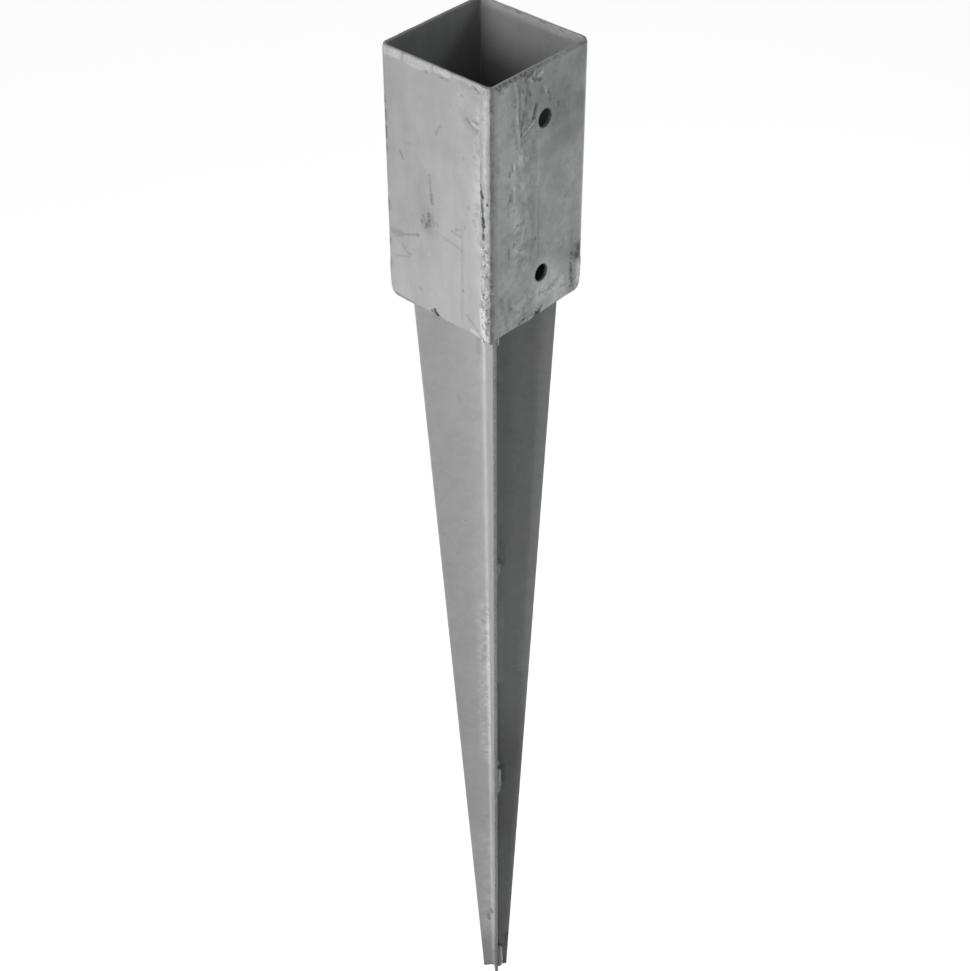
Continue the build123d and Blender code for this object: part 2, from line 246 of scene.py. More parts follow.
# Stains on the sleeve, and painted shade in its holes and notches, under the rims, along the front bend
# and beside the long run
sleeve_stains_and_shade = [
    *marks_on(left_wall, [
        (5.2, 145.2, 5.2, 144.4, 0.9, 0.3, 0.5), (-3.4, 145.2, -9.6, 145.6, 0.8, 0.2, 0.35),
        (-27.6, 147.2, -30, 145.6, 1.2, 0.2, 0.55), (-30.9, 145.3, -32.6, 142.6, 0.9, 0.2, 0.5),
        (-18.6, 140.6, -18.5, 139.9, 0.8, 0.3, 0.35), (-10.8, 133, -10.8, 132, 0.9, 0.3, 0.22),
        (-20.9, 134.2, -20.9, 133, 0.9, 0.3, 0.3), (-22.5, 136.4, -23.2, 135.4, 0.8, 0.3, 0.25),
        (-21.5, 129, -26.4, 126, 1.5, 0.2, 0.46), (-26, 129.4, -30, 128.6, 0.9, 0.2, 0.38),
        (-25, 124.6, -29, 124.4, 0.9, 0.2, 0.25), (-18, 131, -28, 124, 5, 0, 0.18),
        (-3.7, 118.3, -0.8, 112.4, 1.3, 0.2, 0.26), (21.5, 99.2, 16.8, 100.6, 1.6, 0.1, 0.12),
        (25.3, 93.3, 23.4, 89.4, 0.9, 0.3, 0.45), (-31.2, 122, -31.2, 110, 0.7, 0.3, 0.6),
        (4.4, 86.3, 4.2, 81.5, 1.5, 0.1, 0.26), (4, 79.4, 3.6, 76.4, 1.6, 0.2, 0.3),
        (3.6, 76, 3.1, 71.1, 1.9, 0.2, 0.42), (5.9, 63.4, 5.2, 57.2, 2.2, 0.2, 0.62),
        (5.2, 60, 7.5, 54.8, 3, 0.1, 0.6), (10.8, 56.5, 10.6, 57.6, 1.7, 0.2, 0.56),
        (9.5, 60, 8, 55.4, 3.2, 0, 0.36), (3.6, 62.8, 2.2, 57.6, 2.2, 0, 0.36),
        (1.3, 60.4, -0.8, 59, 1.5, 0.1, 0.28), (6, 62, 6, 56, 8.5, 0, 0.22),
        (32.6, 42.6, 27, 43, 2.6, 0.4, 0.26), (30, 41, 24.7, 43, 1.8, 0.3, 0.26),
        (24.7, 43.2, 14, 47.4, 1.1, 0.3, 0.36), (14.6, 47.2, 14, 47.6, 1.6, 0.3, 0.46),
        (25.5, 36.2, 20.9, 32.3, 1.1, 0.2, 0.28), (20.9, 32.3, 19.6, 33, 1.2, 0.2, 0.26),
        (30.8, 27.6, 21, 30.9, 1.1, 0.2, 0.22), (4.4, 54.4, -5, 53.4, 1, 0.2, 0.16),
        (-5, 53.4, -16.8, 51.6, 1, 0.2, 0.28), (-18.2, 68, -17.3, 8.7, 2, 0.1, 0.15),
        (-17, 60, -16.4, 59, 1.3, 0.3, 0.34), (-18, 51.6, -17.8, 49, 1.1, 0.3, 0.3),
        (-17.6, 36.4, -17.6, 33, 1.3, 0.3, 0.26), (-18.1, 26.9, -18.1, 25.6, 1.2, 0.3, 0.42),
        (13.2, 14.5, 12.6, 13.5, 1.2, 0.3, 0.36), (-20, 66.2, -20, 65, 1.1, 0.3, 0.28),
        (-19.4, 106, -19.4, 104.8, 1.1, 0.3, 0.28), (-27.2, 110, -27.2, 108.6, 1.3, 0.3, 0.28),
        (-22.7, 78.8, -22.7, 77.6, 1.1, 0.3, 0.26), (-26.1, 73, -26.1, 71.7, 1, 0.3, 0.28),
        (-13.4, 61.8, -17, 63.5, 1.2, 0.3, 0.26), (-14.4, 59, -10.6, 60, 1.1, 0.3, 0.22),
        (-31.4, 97, -32.2, 91, 1.1, 0.5, 0.85), (-31.8, 90, -33, 86, 1.4, 0.5, 0.95),
        (-32.2, 86, -32.3, 80, 1, 0.5, 0.85), (-32.5, 80, -33.4, 73, 1.2, 0.6, 1),
        (-33.4, 73, -33, 68, 1.5, 0.6, 1), (-33.2, 68, -32.8, 62, 1, 0.5, 0.85),
        (-33.4, 52, -33.2, 47, 1.4, 0.2, 0.35), (-20.4, 12.5, -28.6, 5.7, 0.9, 0.2, 0.34),
        (4.2, 3.4, 1.4, 3, 1.9, 0.5, 0.85), (2.6, 5.2, 2.6, 3, 1.3, 0.5, 0.85),
        (15.5, 1.3, 12.5, 1.2, 1.1, 0.2, 0.5), (32, 2.2, 19, 1.2, 2.6, 0.2, 0.46),
        (16, 0.8, 8, 1, 1.8, 0.2, 0.34), (2.8, 3.4, 2.2, 3, 2.6, 0.4, 0.9),
    ]),
    *marks_on(right_wall, [
        (-30.9, 148.4, -30.7, 146.8, 2, 0.4, 1), (-31, 145, -28.6, 144.6, 1.4, 0.2, 0.45),
        (-33.4, 148.8, -32.4, 148.2, 1.4, 0.3, 0.8), (-28.2, 149.2, -27.2, 148.4, 1.4, 0.3, 0.85),
        (-26.3, 148.8, -25.9, 147.2, 1.5, 0.3, 0.75), (-23.4, 149, -22.6, 148.4, 1.2, 0.3, 0.8),
        (-19.8, 149.2, -19, 148.2, 1.4, 0.3, 0.75), (-15.6, 149, -14.4, 148.6, 1.3, 0.3, 0.8),
        (-12.6, 148.8, -11.8, 147.6, 1.5, 0.3, 0.85), (-3.4, 149.2, -1, 149, 1.1, 0.3, 0.65),
        (9, 149.2, 12, 149, 1.1, 0.2, 0.5), (20, 149.1, 23, 149, 1.2, 0.2, 0.5),
        # The marks at about -16 mm, from 143 mm down to 110 mm, are painted shade on the right side of
        # the long run of zinc
        (29, 149, 33, 148.6, 1.4, 0.2, 0.6), (-16.6, 143, -16.2, 133, 1.5, 0.2, 0.36),
        (-16.8, 131, -15.2, 119, 1.7, 0.3, 0.56), (-15.2, 118, -14.8, 110, 1.5, 0.3, 0.56),
        (-17.5, 144.2, -16.3, 141.3, 1.1, 0.3, 0.5), (-14.3, 140.4, -13.2, 139, 1.1, 0.3, 0.45),
        (-11.7, 135.5, -11.5, 133.4, 1.3, 0.3, 0.52), (-8.3, 137.8, -8.3, 136.1, 1.1, 0.3, 0.45),
        (-10, 146.6, -7, 148, 1.9, 0.3, 0.8), (-6.4, 143.6, -4.4, 142.4, 1.5, 0.3, 0.75),
        (-2.2, 141.8, 0.2, 141.2, 1.5, 0.3, 0.75), (5.8, 133.5, 6, 132, 1.4, 0.3, 0.6),
        (8.1, 127.4, 9.6, 127, 1, 0.3, 0.5), (13.2, 124, 13.3, 121.8, 1.2, 0.3, 0.5),
        (-3.9, 128.2, -6.1, 122, 1.5, 0.3, 0.55), (-4, 119, -13.4, 114, 1.3, 0.2, 0.34),
        (-13.7, 127.4, -14.8, 120.8, 1.5, 0.2, 0.34), (-9.4, 122, -10.6, 119.4, 1.5, 0.2, 0.28),
        (19.3, 129, 23.2, 128.6, 2.2, 0.3, 0.2), (21.8, 144.2, 22.6, 144.3, 1.6, 0.2, 0.28),
        (30.8, 140.1, 31.3, 140.2, 1.6, 0.2, 0.3), (-2.7, 102.3, -2.4, 85.4, 1.2, 0.2, 0.24),
        (-1, 78.3, -0.1, 38.5, 1.5, 0.2, 0.18), (-23.3, 98.4, -23.3, 96.1, 1.2, 0.3, 0.5),
        (-31.8, 104.9, -31.8, 102.7, 2.2, 0.2, 0.26), (-22.6, 85, -22.5, 81.7, 1.2, 0.3, 0.52),
        (-24.1, 81.5, -24.1, 73.2, 1.1, 0.2, 0.28), (-20.9, 62, -16, 65, 1.1, 0.2, 0.3),
        (-16, 65, -11.8, 63.5, 1.1, 0.2, 0.28), (-2.7, 51.1, -2.7, 49.9, 1.1, 0.3, 0.55),
        (-5.5, 60, -4.6, 57, 1.2, 0.2, 0.24), (-19.5, 54.6, -19.5, 53.3, 1.3, 0.3, 0.5),
        (-23.4, 53.2, -23.3, 47.7, 1.2, 0.3, 0.46), (-16.5, 45.6, -13.6, 42.6, 3.2, 0.2, 0.34),
        (16, 50.9, 17.6, 51.4, 1.4, 0.2, 0.22), (17.9, 34.4, 20.8, 37.4, 1.8, 0.1, 0.2),
        (20.6, 34, 20.2, 42, 1.3, 0.2, 0.18), (29, 27, 35, 22.6, 5.2, 0, 0.95),
        (31.4, 30.5, 35.4, 23, 4.2, 0, 0.85), (35.4, 32, 35.8, 20, 3.2, 0.1, 0.75),
        (27.3, 24, 28.1, 23.4, 1.3, 0.3, 0.75), (26.9, 21.8, 27.2, 6.6, 1.6, 0.2, 0.66),
        (27.6, 16.6, 27.8, 15, 1.2, 0.4, 0.95), (28.2, 10.6, 28.4, 8.4, 1.1, 0.3, 0.75),
        (32.9, 5.6, 32.9, 4.2, 1.3, 0.3, 0.7), (6.5, 12, 17, 17.5, 2.6, 0.2, 0.26),
        (19.5, 10.4, 26.7, 9, 2, 0.2, 0.28), (1.6, 15, 1.7, 13.7, 1.2, 0.2, 0.26),
        (-29.2, 25.2, -27.2, 16.6, 3, 0.2, 0.3), (-23.7, 22.4, -22, 15.3, 2.6, 0.2, 0.24),
        (-17.3, 17.3, -13.1, 18, 2, 0.1, 0.24), (-25.9, 12.5, -25, 7, 2.2, 0.2, 0.34),
        (-14.4, 2.8, -10.6, 3.6, 1.5, 0.3, 0.75), (-8, 1.6, -7, 1.8, 1.2, 0.3, 0.6),
        (-2.5, 2.3, 0.9, 2.9, 1.4, 0.4, 0.85), (0.6, 3.6, 3.2, 5, 1.2, 0.4, 0.8),
        # The two lines just under the rim are painted shade
        (-33, 148.7, 34, 148.7, 0.9, 0.4, 0.42), (-33, 148.4, -6, 148.4, 1.5, 0.3, 0.4),
    ]),
    *marks_on(inner_wall, [
        (-19.1, 149.4, -21, 148.6, 0.8, 0.2, 0.45), (10.8, 149.4, 7.4, 149.4, 0.8, 0.2, 0.45),
        (-5.6, 149.4, -9.3, 149.4, 0.8, 0.2, 0.4), (18.7, 149.4, 16.7, 149.4, 0.8, 0.2, 0.35),
    ]),
    # The insides of the two notches in view are painted shade
    ((-36.4, 1.6, 2.4), (-36.4, 1.2, 1.8), 2.4, 0.6, 0.95),
    ((0.6, -36.4, 2.2), (0.2, -36.4, 1.6), 2.6, 0.6, 1.00),
    *[((-37.2, 35.4, top), (-37.2, 35.4, foot), width, 0.3, strength) for top, foot, width, strength in (
        (121, 118, 1.8, 0.45), (113, 108, 2, 0.6), (104, 98, 2, 0.7), (93, 90, 1.8, 0.55),
        (60, 55, 2, 0.6), (36, 33, 1.8, 0.6), (24, 21, 1.8, 0.5))],
    *[(right_wall(29.6, rung), right_wall(39, rung), 2.6, 0.5, 0.008 * (rung - 101))
      for rung in range(104, 125, 3)],
    # A line of painted shade down the front bend
    ((-35.4, -37.6, 150), (-35.4, -37.6, 0), 1.2, 0.2, 0.20),
    # Painted shade inside the two bolt holes in view
    ((3.4, -35.7, 118.4), (3.4, -35.7, 118.4), 5.9, 0.9, 0.75),
    ((2.6, -35.7, 26.8), (2.6, -35.7, 26.8), 5.9, 0.9, 0.75),
    # Painted shade along the inner edge of the left wall's rim
    ((-35.6, -34, 149.7), (-35.6, 34, 149.7), 1.0, 0.4, 0.75),
    ((-35.5, -34, 149.2), (-35.5, 30, 149.2), 1.2, 0.3, 0.60),
]
# Blooms of thick zinc on the sleeve, and painted highlights on the long run, the left corner's bend and
# the rims
sleeve_blooms_and_highlights = [
    *marks_on(left_wall, [
        (33, 147.6, 24.5, 147.8, 3, 0.6, 0.34), (18.5, 147.2, 10, 146.6, 3.2, 0.6, 0.3),
        (10, 147.6, 3, 148, 2.6, 0.6, 0.34), (-1.6, 148.6, -10, 148.6, 2.4, 0.6, 0.42),
        (-13, 149.4, -32, 149.4, 1.2, 0.3, 0.26), (-25.5, 127.3, -29.8, 126.6, 1.3, 0.3, 0.55),
        (-33.2, 60, -33.2, 42, 1.4, 0.2, 0.35), (-31.3, 36.7, -31.2, 28.7, 1.3, 0.2, 0.6),
        (-31.4, 19.9, -32.6, 4.2, 2.2, 0.4, 1), (-30.6, 16, -31.2, 12, 1.2, 0.3, 0.8),
        (-24.4, 4, -28.7, 2.4, 2, 0.3, 0.45),
    ]),
    *marks_on(right_wall, [
        # The first three marks, down the left side of the long run of zinc, are a painted highlight
        (-20.4, 146.2, -18.4, 136, 1.5, 0.3, 0.42), (-18.4, 136, -19.3, 125.5, 1.7, 0.4, 0.56),
        (-19.3, 125.5, -16.9, 111, 1.7, 0.4, 0.62), (-13.6, 115.8, -4.6, 120.4, 1.2, 0.3, 0.5),
        (-2.9, 144.4, -0.2, 145.2, 1.5, 0.3, 0.8), (3.4, 134, 4.2, 133.6, 0.8, 0.3, 0.5),
        (-3.7, 121, -14.4, 115.8, 0.7, 0.3, 0.4), (-2.6, 114.1, -0.3, 116.4, 0.9, 0.3, 0.6),
        (-20.5, 101.2, -20.5, 99, 1, 0.3, 0.7), (-20.4, 86.8, -20.3, 81.5, 0.9, 0.2, 0.5),
        (-30.6, 75.4, -24.1, 76.2, 2.6, 0.3, 0.3), (-23, 74, -17, 73, 2.2, 0.3, 0.22),
        (10, 8, 22, 8, 5, 0.3, 0.22), (30.7, 19.4, 31.3, 5.5, 2.4, 0.5, 1),
        (33.8, 18, 34, 6, 1.8, 0.4, 0.9), (-34, 0.7, 34, 0.7, 1.2, 0.2, 0.55),
        (-13, 1.2, -4, 1.4, 1.6, 0.4, 0.85), (1.6, 0.9, 5.4, 1.2, 1.5, 0.4, 0.85),
    ]),
    *marks_on(inner_wall, [
        (5.3, 146, -9.7, 146.1, 1, 0, 0.3), (-9.7, 146.1, -24.1, 146.2, 1.1, 0, 0.42),
        (-14.7, 149.4, -16.1, 149.4, 0.8, 0.2, 0.6), (-23.3, 149.4, -25.7, 149.4, 0.9, 0.2, 0.65),
        (-30.7, 149.4, -32.5, 149.4, 0.9, 0.2, 0.65), (-10.1, 139.9, -11.1, 139.2, 0.9, 0.1, 0.45),
        (24.7, 148.8, 22.6, 148.6, 1, 0.1, 0.4), (-17.8, 145.8, -20.5, 145.7, 0.8, 0.1, 0.4),
    ]),
    # Painted highlights on the bend of the left corner
    ((-36.4, 36.4, 44), (-36.4, 36.4, 36), 0.9, 0.2, 0.70),
    ((-36.4, 36.4, 12), (-36.4, 36.4, 8), 1.2, 0.2, 0.60),
    # A painted highlight along the right wall's rim
    ((-34, -36.8, 150.1), (34, -36.8, 150.1), 0.7, 0.4, 0.55),
    # The bright band under the inner rim is thicker zinc with painted light on it
    ((wall / mm - 2, 28, 149), (wall / mm - 2, -28, 149), 2.8, 0.7, 0.30),
]
sleeve_busy = [
    *marks_on(left_wall, [
        (0, 75, 0, 75, 200, 0.9, 0.07), (-31, 140, -31, 60, 7, 0.2, 0.7),
        (-33, 62, -33, 0, 4, 0.3, 0.9), (-30, 148, 36, 148, 4, 0.4, 0.6),
    ]),
    *marks_on(right_wall, [
        (-14, 140, -12, 40, 14, 0.3, 0.85), (-25, 12, 30, 10, 14, 0.3, 0.75),
        (-30, 147, 5, 147, 5, 0.4, 0.9), (30, 30, 33, 5, 6, 0.4, 1),
    ]),
    ((37, -37.5, 150), (37, -37.5, 0), 74, 0.94, 0.38),
    ((-36.6, -36.6, 150), (-36.6, -36.6, 0), 3.4, 0.4, 0.60),
    ((-36.6, 36.6, 128), (-36.6, 36.6, 20), 2.4, 0.3, 1.00),
    ((36.6, -36.6, 140), (36.6, -36.6, 0), 2.4, 0.3, 0.60),
]
# Broad tones on the outer walls, partly the coat's own and partly painted light and shade
sleeve_tones_and_shading = [
    *marks_on(left_wall, [
        (-42, 60, -42, 10, 74, 0, 0.24), (34, 24, 24, 8, 26, 0.1, 0.1),
        (-24, 132, -26, 118, 18, 0.2, 0.1), (34, 140, 30, 90, 34, 0, -0.1),
        (8, 66, 20, 60, 16, 0.2, -0.05),
    ]),
    *marks_on(right_wall, [
        (31, 119, 39, 115, 12, 0.1, -0.34), (38, 116, 38, 80, 13, 0, -0.2),
        (4, 99.6, 30, 104, 8, 0.2, -0.24), (16, 112, 30, 138, 22, 0.2, -0.12),
        (-30, 142, -24, 104, 15, 0.3, 0.42), (-27, 96, -23, 10, 22, 0.2, 0.26),
        (30, 82, 30, 46, 18, 0.2, 0.22), (0, 80, 10, 20, 46, 0.2, 0.16), (6, 20, 16, 8, 18, 0.3, 0.62),
        (-30, 126, -26, 112, 8, 0.4, 0.08), (-34.2, 150, -34.2, 0, 3, 0.4, -0.16),
    ]),
]

# Runs and lumps of zinc on the walls, from and to by place and height on the wall, width and rise
right_wall_zinc = [
    (-20, 146.2, -17.8, 136, 1.5, 0.16), (-17.8, 136, -18.8, 125.5, 1.8, 0.2),
    (-18.8, 125.5, -16.4, 113, 1.9, 0.22), (-16.7, 116, -16.2, 110.6, 1.6, 0.16),
    (-14.4, 115.8, -9.6, 117.6, 1, 0.32), (-9.6, 117.6, -3.7, 121, 1, 0.26),
    (-3.9, 128.2, -6.1, 122, 1.2, -0.26), (-2.2, 127.6, -3.6, 121.6, 1.3, 0.22),
    (-15.2, 137, -14.2, 131, 1.6, 0.22), (-11.8, 129, -9.4, 125, 1.7, 0.2),
    (-13.6, 127, -14.6, 121, 1.3, -0.2), (-9.6, 140, -7.2, 136, 1.6, 0.24),
    (-10.8, 145.2, -8.4, 143.4, 1.2, 0.36), (-6.4, 146.4, -5.6, 144.6, 1, 0.3),
    (-3.2, 144.4, -0.4, 145.4, 1.3, 0.52), (1.6, 136, 3, 133, 1.4, 0.24),
    (7.6, 129, 8.2, 127, 1.1, 0.24), (-16.6, 106, -16.2, 98, 2.2, 0.2),
    (-20.6, 102, -20.4, 98.6, 1.2, 0.36), (-22, 96, -23, 88, 2.4, 0.18),
    (-14.6, 92, -15.4, 84, 2.4, 0.2), (-20.4, 87, -20.2, 80, 1.2, 0.3), (-24, 73, -17, 70, 2.6, 0.18),
    (-21, 62, -12, 63.6, 1.6, 0.22), (-13, 60, -15, 54, 2.2, 0.18), (-22, 50, -18, 44, 2.4, 0.18),
    (-2.6, 108, -3.4, 44, 1.8, 0.12), (31.4, 5, 32, 19, 2, 0.45), (29, 22, 33, 30, 1.8, -0.2),
]
left_wall_zinc = [
    (-31.2, 122, -31.2, 110, 0.9, -0.25), (-31.6, 96, -32, 88, 0.9, -0.45),
    (-32, 88, -33, 64, 0.9, -0.6), (33, 42, 24, 43, 1.6, 0.1), (31, 146.6, 22, 146.8, 2.6, 0.16),
    (18, 146, 2, 147, 2.8, 0.16), (-25.5, 127.3, -29.8, 126.6, 1.2, 0.22),
    (-31.6, 20, -33, 4, 1.5, 0.3), (-24.4, 4, -28.7, 2.4, 1.5, 0.2),
]

# A finer net on the two walls, and a finer one still wherever they carry a mark of the dip, and under
# the rim of the inner wall that is in view
choose("FACE", faces_out)
bpy.ops.mesh.subdivide(number_cuts=fine_cuts)
marked_runs = [mark[:3] for mark in sleeve_stains_and_shade + sleeve_blooms_and_highlights]
for point_of, runs in ((right_wall, right_wall_zinc), (left_wall, left_wall_zinc)):
    marked_runs += [(point_of(*run[:2]), point_of(*run[2:4]), run_reach * run[4]) for run in runs]
bpy.ops.mesh.select_all(action="DESELECT")
mesh = bmesh.from_edit_mesh(sleeve.data)
largest = (1.4 * coarse_net / (fine_cuts + 1)) ** 2
outer = [face for face in mesh.faces if faces_out(face) and face.calc_area() < largest]
middles = np.array([face.calc_center_median() for face in outer]) / mm
near_mark = np.zeros(len(outer), bool)
for start, end, width in marked_runs:
    near_mark |= away_from(middles, start, end) < width + mark_margin
for face, wanted in zip(outer, near_mark):
    face.select_set(bool(wanted))
bmesh.update_edit_mesh(sleeve.data)
bpy.ops.mesh.subdivide(number_cuts=mark_cuts)
choose("FACE", lambda face: face.normal.x < -0.9 and face.calc_center_median().x > wall - 1.5 * sheet
       and face.calc_center_median().z > height - rim_band)
bpy.ops.mesh.subdivide(number_cuts=streak_cuts)
done()

# The bolt holes, whose pattern lies a little along the folded sheet, and the jig notches
drills = []
for side in (-1, 1):
    for hole_slip, hole_height in zip(hole_slips[side], hole_heights):
        bpy.ops.mesh.primitive_cylinder_add(
            vertices=72, radius=hole_radius, depth=4 * sheet, rotation=(math.pi / 2, 0, 0),
            location=(hole_slip, side * wall, hole_height), scale=(hole_squeeze, 1, 1))
        drills.append(added("drill"))
cut(sleeve, drills)
punches = []
punch_side = notch_rise * 2 / math.sqrt(3)
for angle in (0, 90, 180, 270):
    bpy.ops.mesh.primitive_cylinder_add(
        vertices=3, radius=notch_rise * 2 / 3, depth=punch_depth, location=(wall, 0, notch_rise / 3),
        rotation=(0, -math.pi / 2, 0), scale=(punch_stretch, notch_width / punch_side, 1))
    punches.append(put(added("punch"), Matrix.Rotation(math.radians(angle), 4, "Z")))
cut(sleeve, punches)

# The gaps between the flaps, and the drain hole between their cropped tips
saws = []
for corner in (front, left, right, back):
    rise = base_bend if corner == front else mitre_rise
    cut_middle = (outside / 2 + saw_start, 0, rise / 2 - sheet / 2)
    bpy.ops.mesh.primitive_cube_add(size=1, location=cut_middle, scale=(outside, mitre_gap, rise + sheet))
    saws.append(put(added("saw"), Matrix.Rotation(corner, 4, "Z")))
cut(sleeve, saws)
bpy.ops.mesh.primitive_cube_add(size=1, scale=(drain_width, drain_width, 3 * sheet))
cut(sleeve, [added("drain_punch")])


def spots_of(piece):
    """The places of a piece's verts, one row each."""
    spots = np.empty(len(piece.data.vertices) * 3)
    piece.data.vertices.foreach_get("co", spots)
    return spots.reshape(-1, 3)


def move_to(piece, spots):
    piece.data.vertices.foreach_set("co", spots.ravel())
    piece.data.update()


def lift_of(runs, places):
    """How far runs and lumps of zinc stand out at each place, in metres.

    Each has faded away at about twice its width.
    """
    lift = np.zeros(len(places))
    for *ends, width, rise in runs:
        lift += rise * mm * np.exp(-((away_from(places / mm, ends[:2], ends[2:]) / width) ** 2))
    return lift


def lumps_at(places, size, seed):
    """Smooth noise from -1 to 1 at each place, with lumps of about the given size in millimetres."""
    shift = Vector((seed, 0, 0))
    return np.array([noise.noise(Vector(place) / (size * mm) + shift) for place in places])


# Zinc on the sleeve: runs and lumps on the two walls, a rough band down the right one, a faint swell on
# both, wavering edges above and below, sags at the right wall's foot and a grain on the front bend
spots = spots_of(sleeve)
flat = wall - corner_bend
band_middle, band_half, band_foot, band_fade = -13.0 * mm, 12.0 * mm, 20.0 * mm, 30.0 * mm
rim_fade = 5.0 * mm
rim_zone = 1.5 * mm
foot_zone = 2.5 * mm
bend_skin = 0.3 * mm
top_cut = 1.2 * mm
foot_sags = ((-5.4, 2.6, 0.9), (3.4, 1.5, 0.7), (-12.0, 2.5, 0.4))
on_right = (spots[:, 1] < -wall + hair) & (np.abs(spots[:, 0]) < flat + hair)
places = spots[on_right]
lift = lift_of(right_wall_zinc, places[:, [0, 2]])
busy = np.clip(1 - np.abs(places[:, 0] - band_middle) / band_half, 0, 1)
busy *= np.clip((places[:, 2] - band_foot) / band_fade, 0, 1)
lift += busy * 0.10 * mm * lumps_at(places, size=2.6, seed=3)
lift += 0.03 * mm * lumps_at(places, size=9, seed=11)
on_left = (spots[:, 0] < -wall + hair) & (np.abs(spots[:, 1]) < flat + hair)
spots[on_right, 1] -= lift
places = spots[on_left]
under_rim = np.clip((places[:, 2] - height + rim_band) / rim_fade, 0, 1)
lift = 0.04 * mm * lumps_at(places, size=14, seed=5)
lift += 0.06 * mm * under_rim * lumps_at(places, size=5, seed=8)
lift += lift_of(left_wall_zinc, places[:, [1, 2]])
spots[on_left, 0] -= lift
at_rim = spots[:, 2] > height - rim_zone
spots[at_rim, 2] += 0.12 * mm * lumps_at(spots[at_rim] * [1, 1, 0], size=8, seed=21)
at_foot = spots[:, 2] < foot_zone
spots[at_foot, 2] += 0.14 * mm * lumps_at(spots[at_foot] * [1, 1, 0], size=5, seed=25)
right_foot = at_foot & (spots[:, 1] < sheet - wall)
along_foot = spots[right_foot, 0] / mm
sag = sum(deep * np.exp(-(((along_foot - lowest) / width) ** 2)) for lowest, width, deep in foot_sags)
sag *= 1 + 0.6 * lumps_at(np.outer(along_foot, (mm, 0, 0)), size=1.6, seed=27)
spots[right_foot, 2] -= sag * mm
in_bend = (spots[:, 0] < -flat) & (spots[:, 1] < -flat)
in_bend &= np.hypot(spots[:, 0] + flat, spots[:, 1] + flat) > corner_bend - bend_skin
outward = (spots[in_bend] + [flat, flat, 0]) * [1, 1, 0]
outward /= np.linalg.norm(outward, axis=1)[:, None]
spots[in_bend] += outward * (0.09 * mm * lumps_at(spots[in_bend], size=1.6, seed=31))[:, None]

# The three lower corners away from the seam are hammered round, and zinc rounds the upper ones a little
for angle in (left, right, back):
    way = np.array(across(angle))
    reach = spots @ way
    drop = np.clip(corner_round - spots[:, 2], 0, corner_round)
    limit = corner_reach - corner_round + np.sqrt(corner_round ** 2 - drop ** 2)
    spots -= np.clip(reach - limit, 0, None)[:, None] * way
    rise = np.clip(spots[:, 2] - height + top_round, 0, top_round)
    limit = corner_reach - top_round + np.sqrt(top_round ** 2 - rise ** 2)
    at_top = rise > hair
    spots[at_top] -= np.clip(reach - limit, 0, top_cut)[at_top, None] * way
move_to(sleeve, spots)
smooth(sleeve, 42)


def paint(piece, stains_and_shade, blooms_and_highlights, busy=(), tones=(), ragged=0.45):
    """Paints a piece's colour attribute: stains, blooms, busy, spattered places, and tones.

    Stains are real stains and painted shade, blooms are thick zinc and painted highlights, and tones are
    partly the coat's own and partly painted light and shade. A mark is its from, to, width, core and
    strength,
    in millimetres: it is full to the core's share of the width, and fades from there. Tones add up, and
    lighten or darken the coat by their strength.
    """
    ragged_size = 1.7
    spots = spots_of(piece) / mm
    jitter = np.array([noise.noise_vector(Vector(place) / ragged_size) for place in spots])
    places = spots + ragged * jitter
    colors = np.zeros((len(spots), 4))
    colors[:, 3] = 1
    for channel, marks in enumerate((stains_and_shade, blooms_and_highlights, busy, tones)):
        for start, end, width, core, strength in marks:
            near = np.clip((width - away_from(places, start, end)) / (width * (1 - core)), 0, 1)
            mark = strength * near * near * (3 - 2 * near)
            if marks is tones:
                colors[:, channel] += mark
            else:
                colors[:, channel] = np.maximum(colors[:, channel], mark)
    marked = piece.data.color_attributes.new("zinc_marks", "FLOAT_COLOR", "POINT")
    marked.data.foreach_set("color", colors.ravel())


paint(sleeve, sleeve_stains_and_shade, sleeve_blooms_and_highlights, sleeve_busy, sleeve_tones_and_shading)

# Inside, the coat has no spatter, and its tone is painted light and shade: painted shade towards the base
# and in the back corner, and a painted band of light below the rim on the inner wall seen on the right
spots = spots_of(sleeve) / mm
inner = wall / mm - 1.6
inside = (np.abs(spots[:, :2]).max(axis=1) < inner) & (spots[:, 2] > 1.5)
painted_light_right = np.interp(spots[:, 2], (100, 114, 131, 144, 147, 150), (0.5, 0.66, 1.5, 1, 1.18, 1.18))
painted_shade_left = np.interp(spots[:, 2], (100, 112, 128, 140), (0.80, 0.84, 0.84, 0.92))
facing_right = spots[:, 0] > spots[:, 1]
corner_shade = np.interp(spots[:, 0] + spots[:, 1], (56, 70), (1.0, 0.9))
marked = sleeve.data.color_attributes["zinc_marks"].data
colors = np.empty(len(spots) * 4)
marked.foreach_get("color", colors)
colors = colors.reshape(-1, 4)
colors[inside, 2] = 0
colors[inside, 3] = (np.where(facing_right, painted_light_right, painted_shade_left) * corner_shade)[inside]
marked.foreach_set("color", colors.ravel())


def new_group(name, inputs, outputs):
    """An empty node group with named sockets, and its two ends."""
    group = bpy.data.node_groups.new(name, "ShaderNodeTree")
    for way, labels in (("INPUT", inputs), ("OUTPUT", outputs)):
        for label, kind in labels.items():
            group.interface.new_socket(name=label, in_out=way, socket_type=kind)
    return group, group.nodes.new("NodeGroupInput").outputs, group.nodes.new("NodeGroupOutput").inputs


def wire(tree, kind, values, **settings):
    """Adds a node with its settings, and gives each named or numbered input a value or a link."""
    node = tree.nodes.new(kind)
    for name, value in settings.items():
        setattr(node, name, value)
    for name, value in values.items():
        if isinstance(value, bpy.types.NodeSocket):
            tree.links.new(value, node.inputs[name])
        else:
            node.inputs[name].default_value = value
    return node


def reckon(tree, operation, *values, clamp=False):
    given = dict(enumerate(values))
    return wire(tree, "ShaderNodeMath", given, operation=operation, use_clamp=clamp).outputs[0]


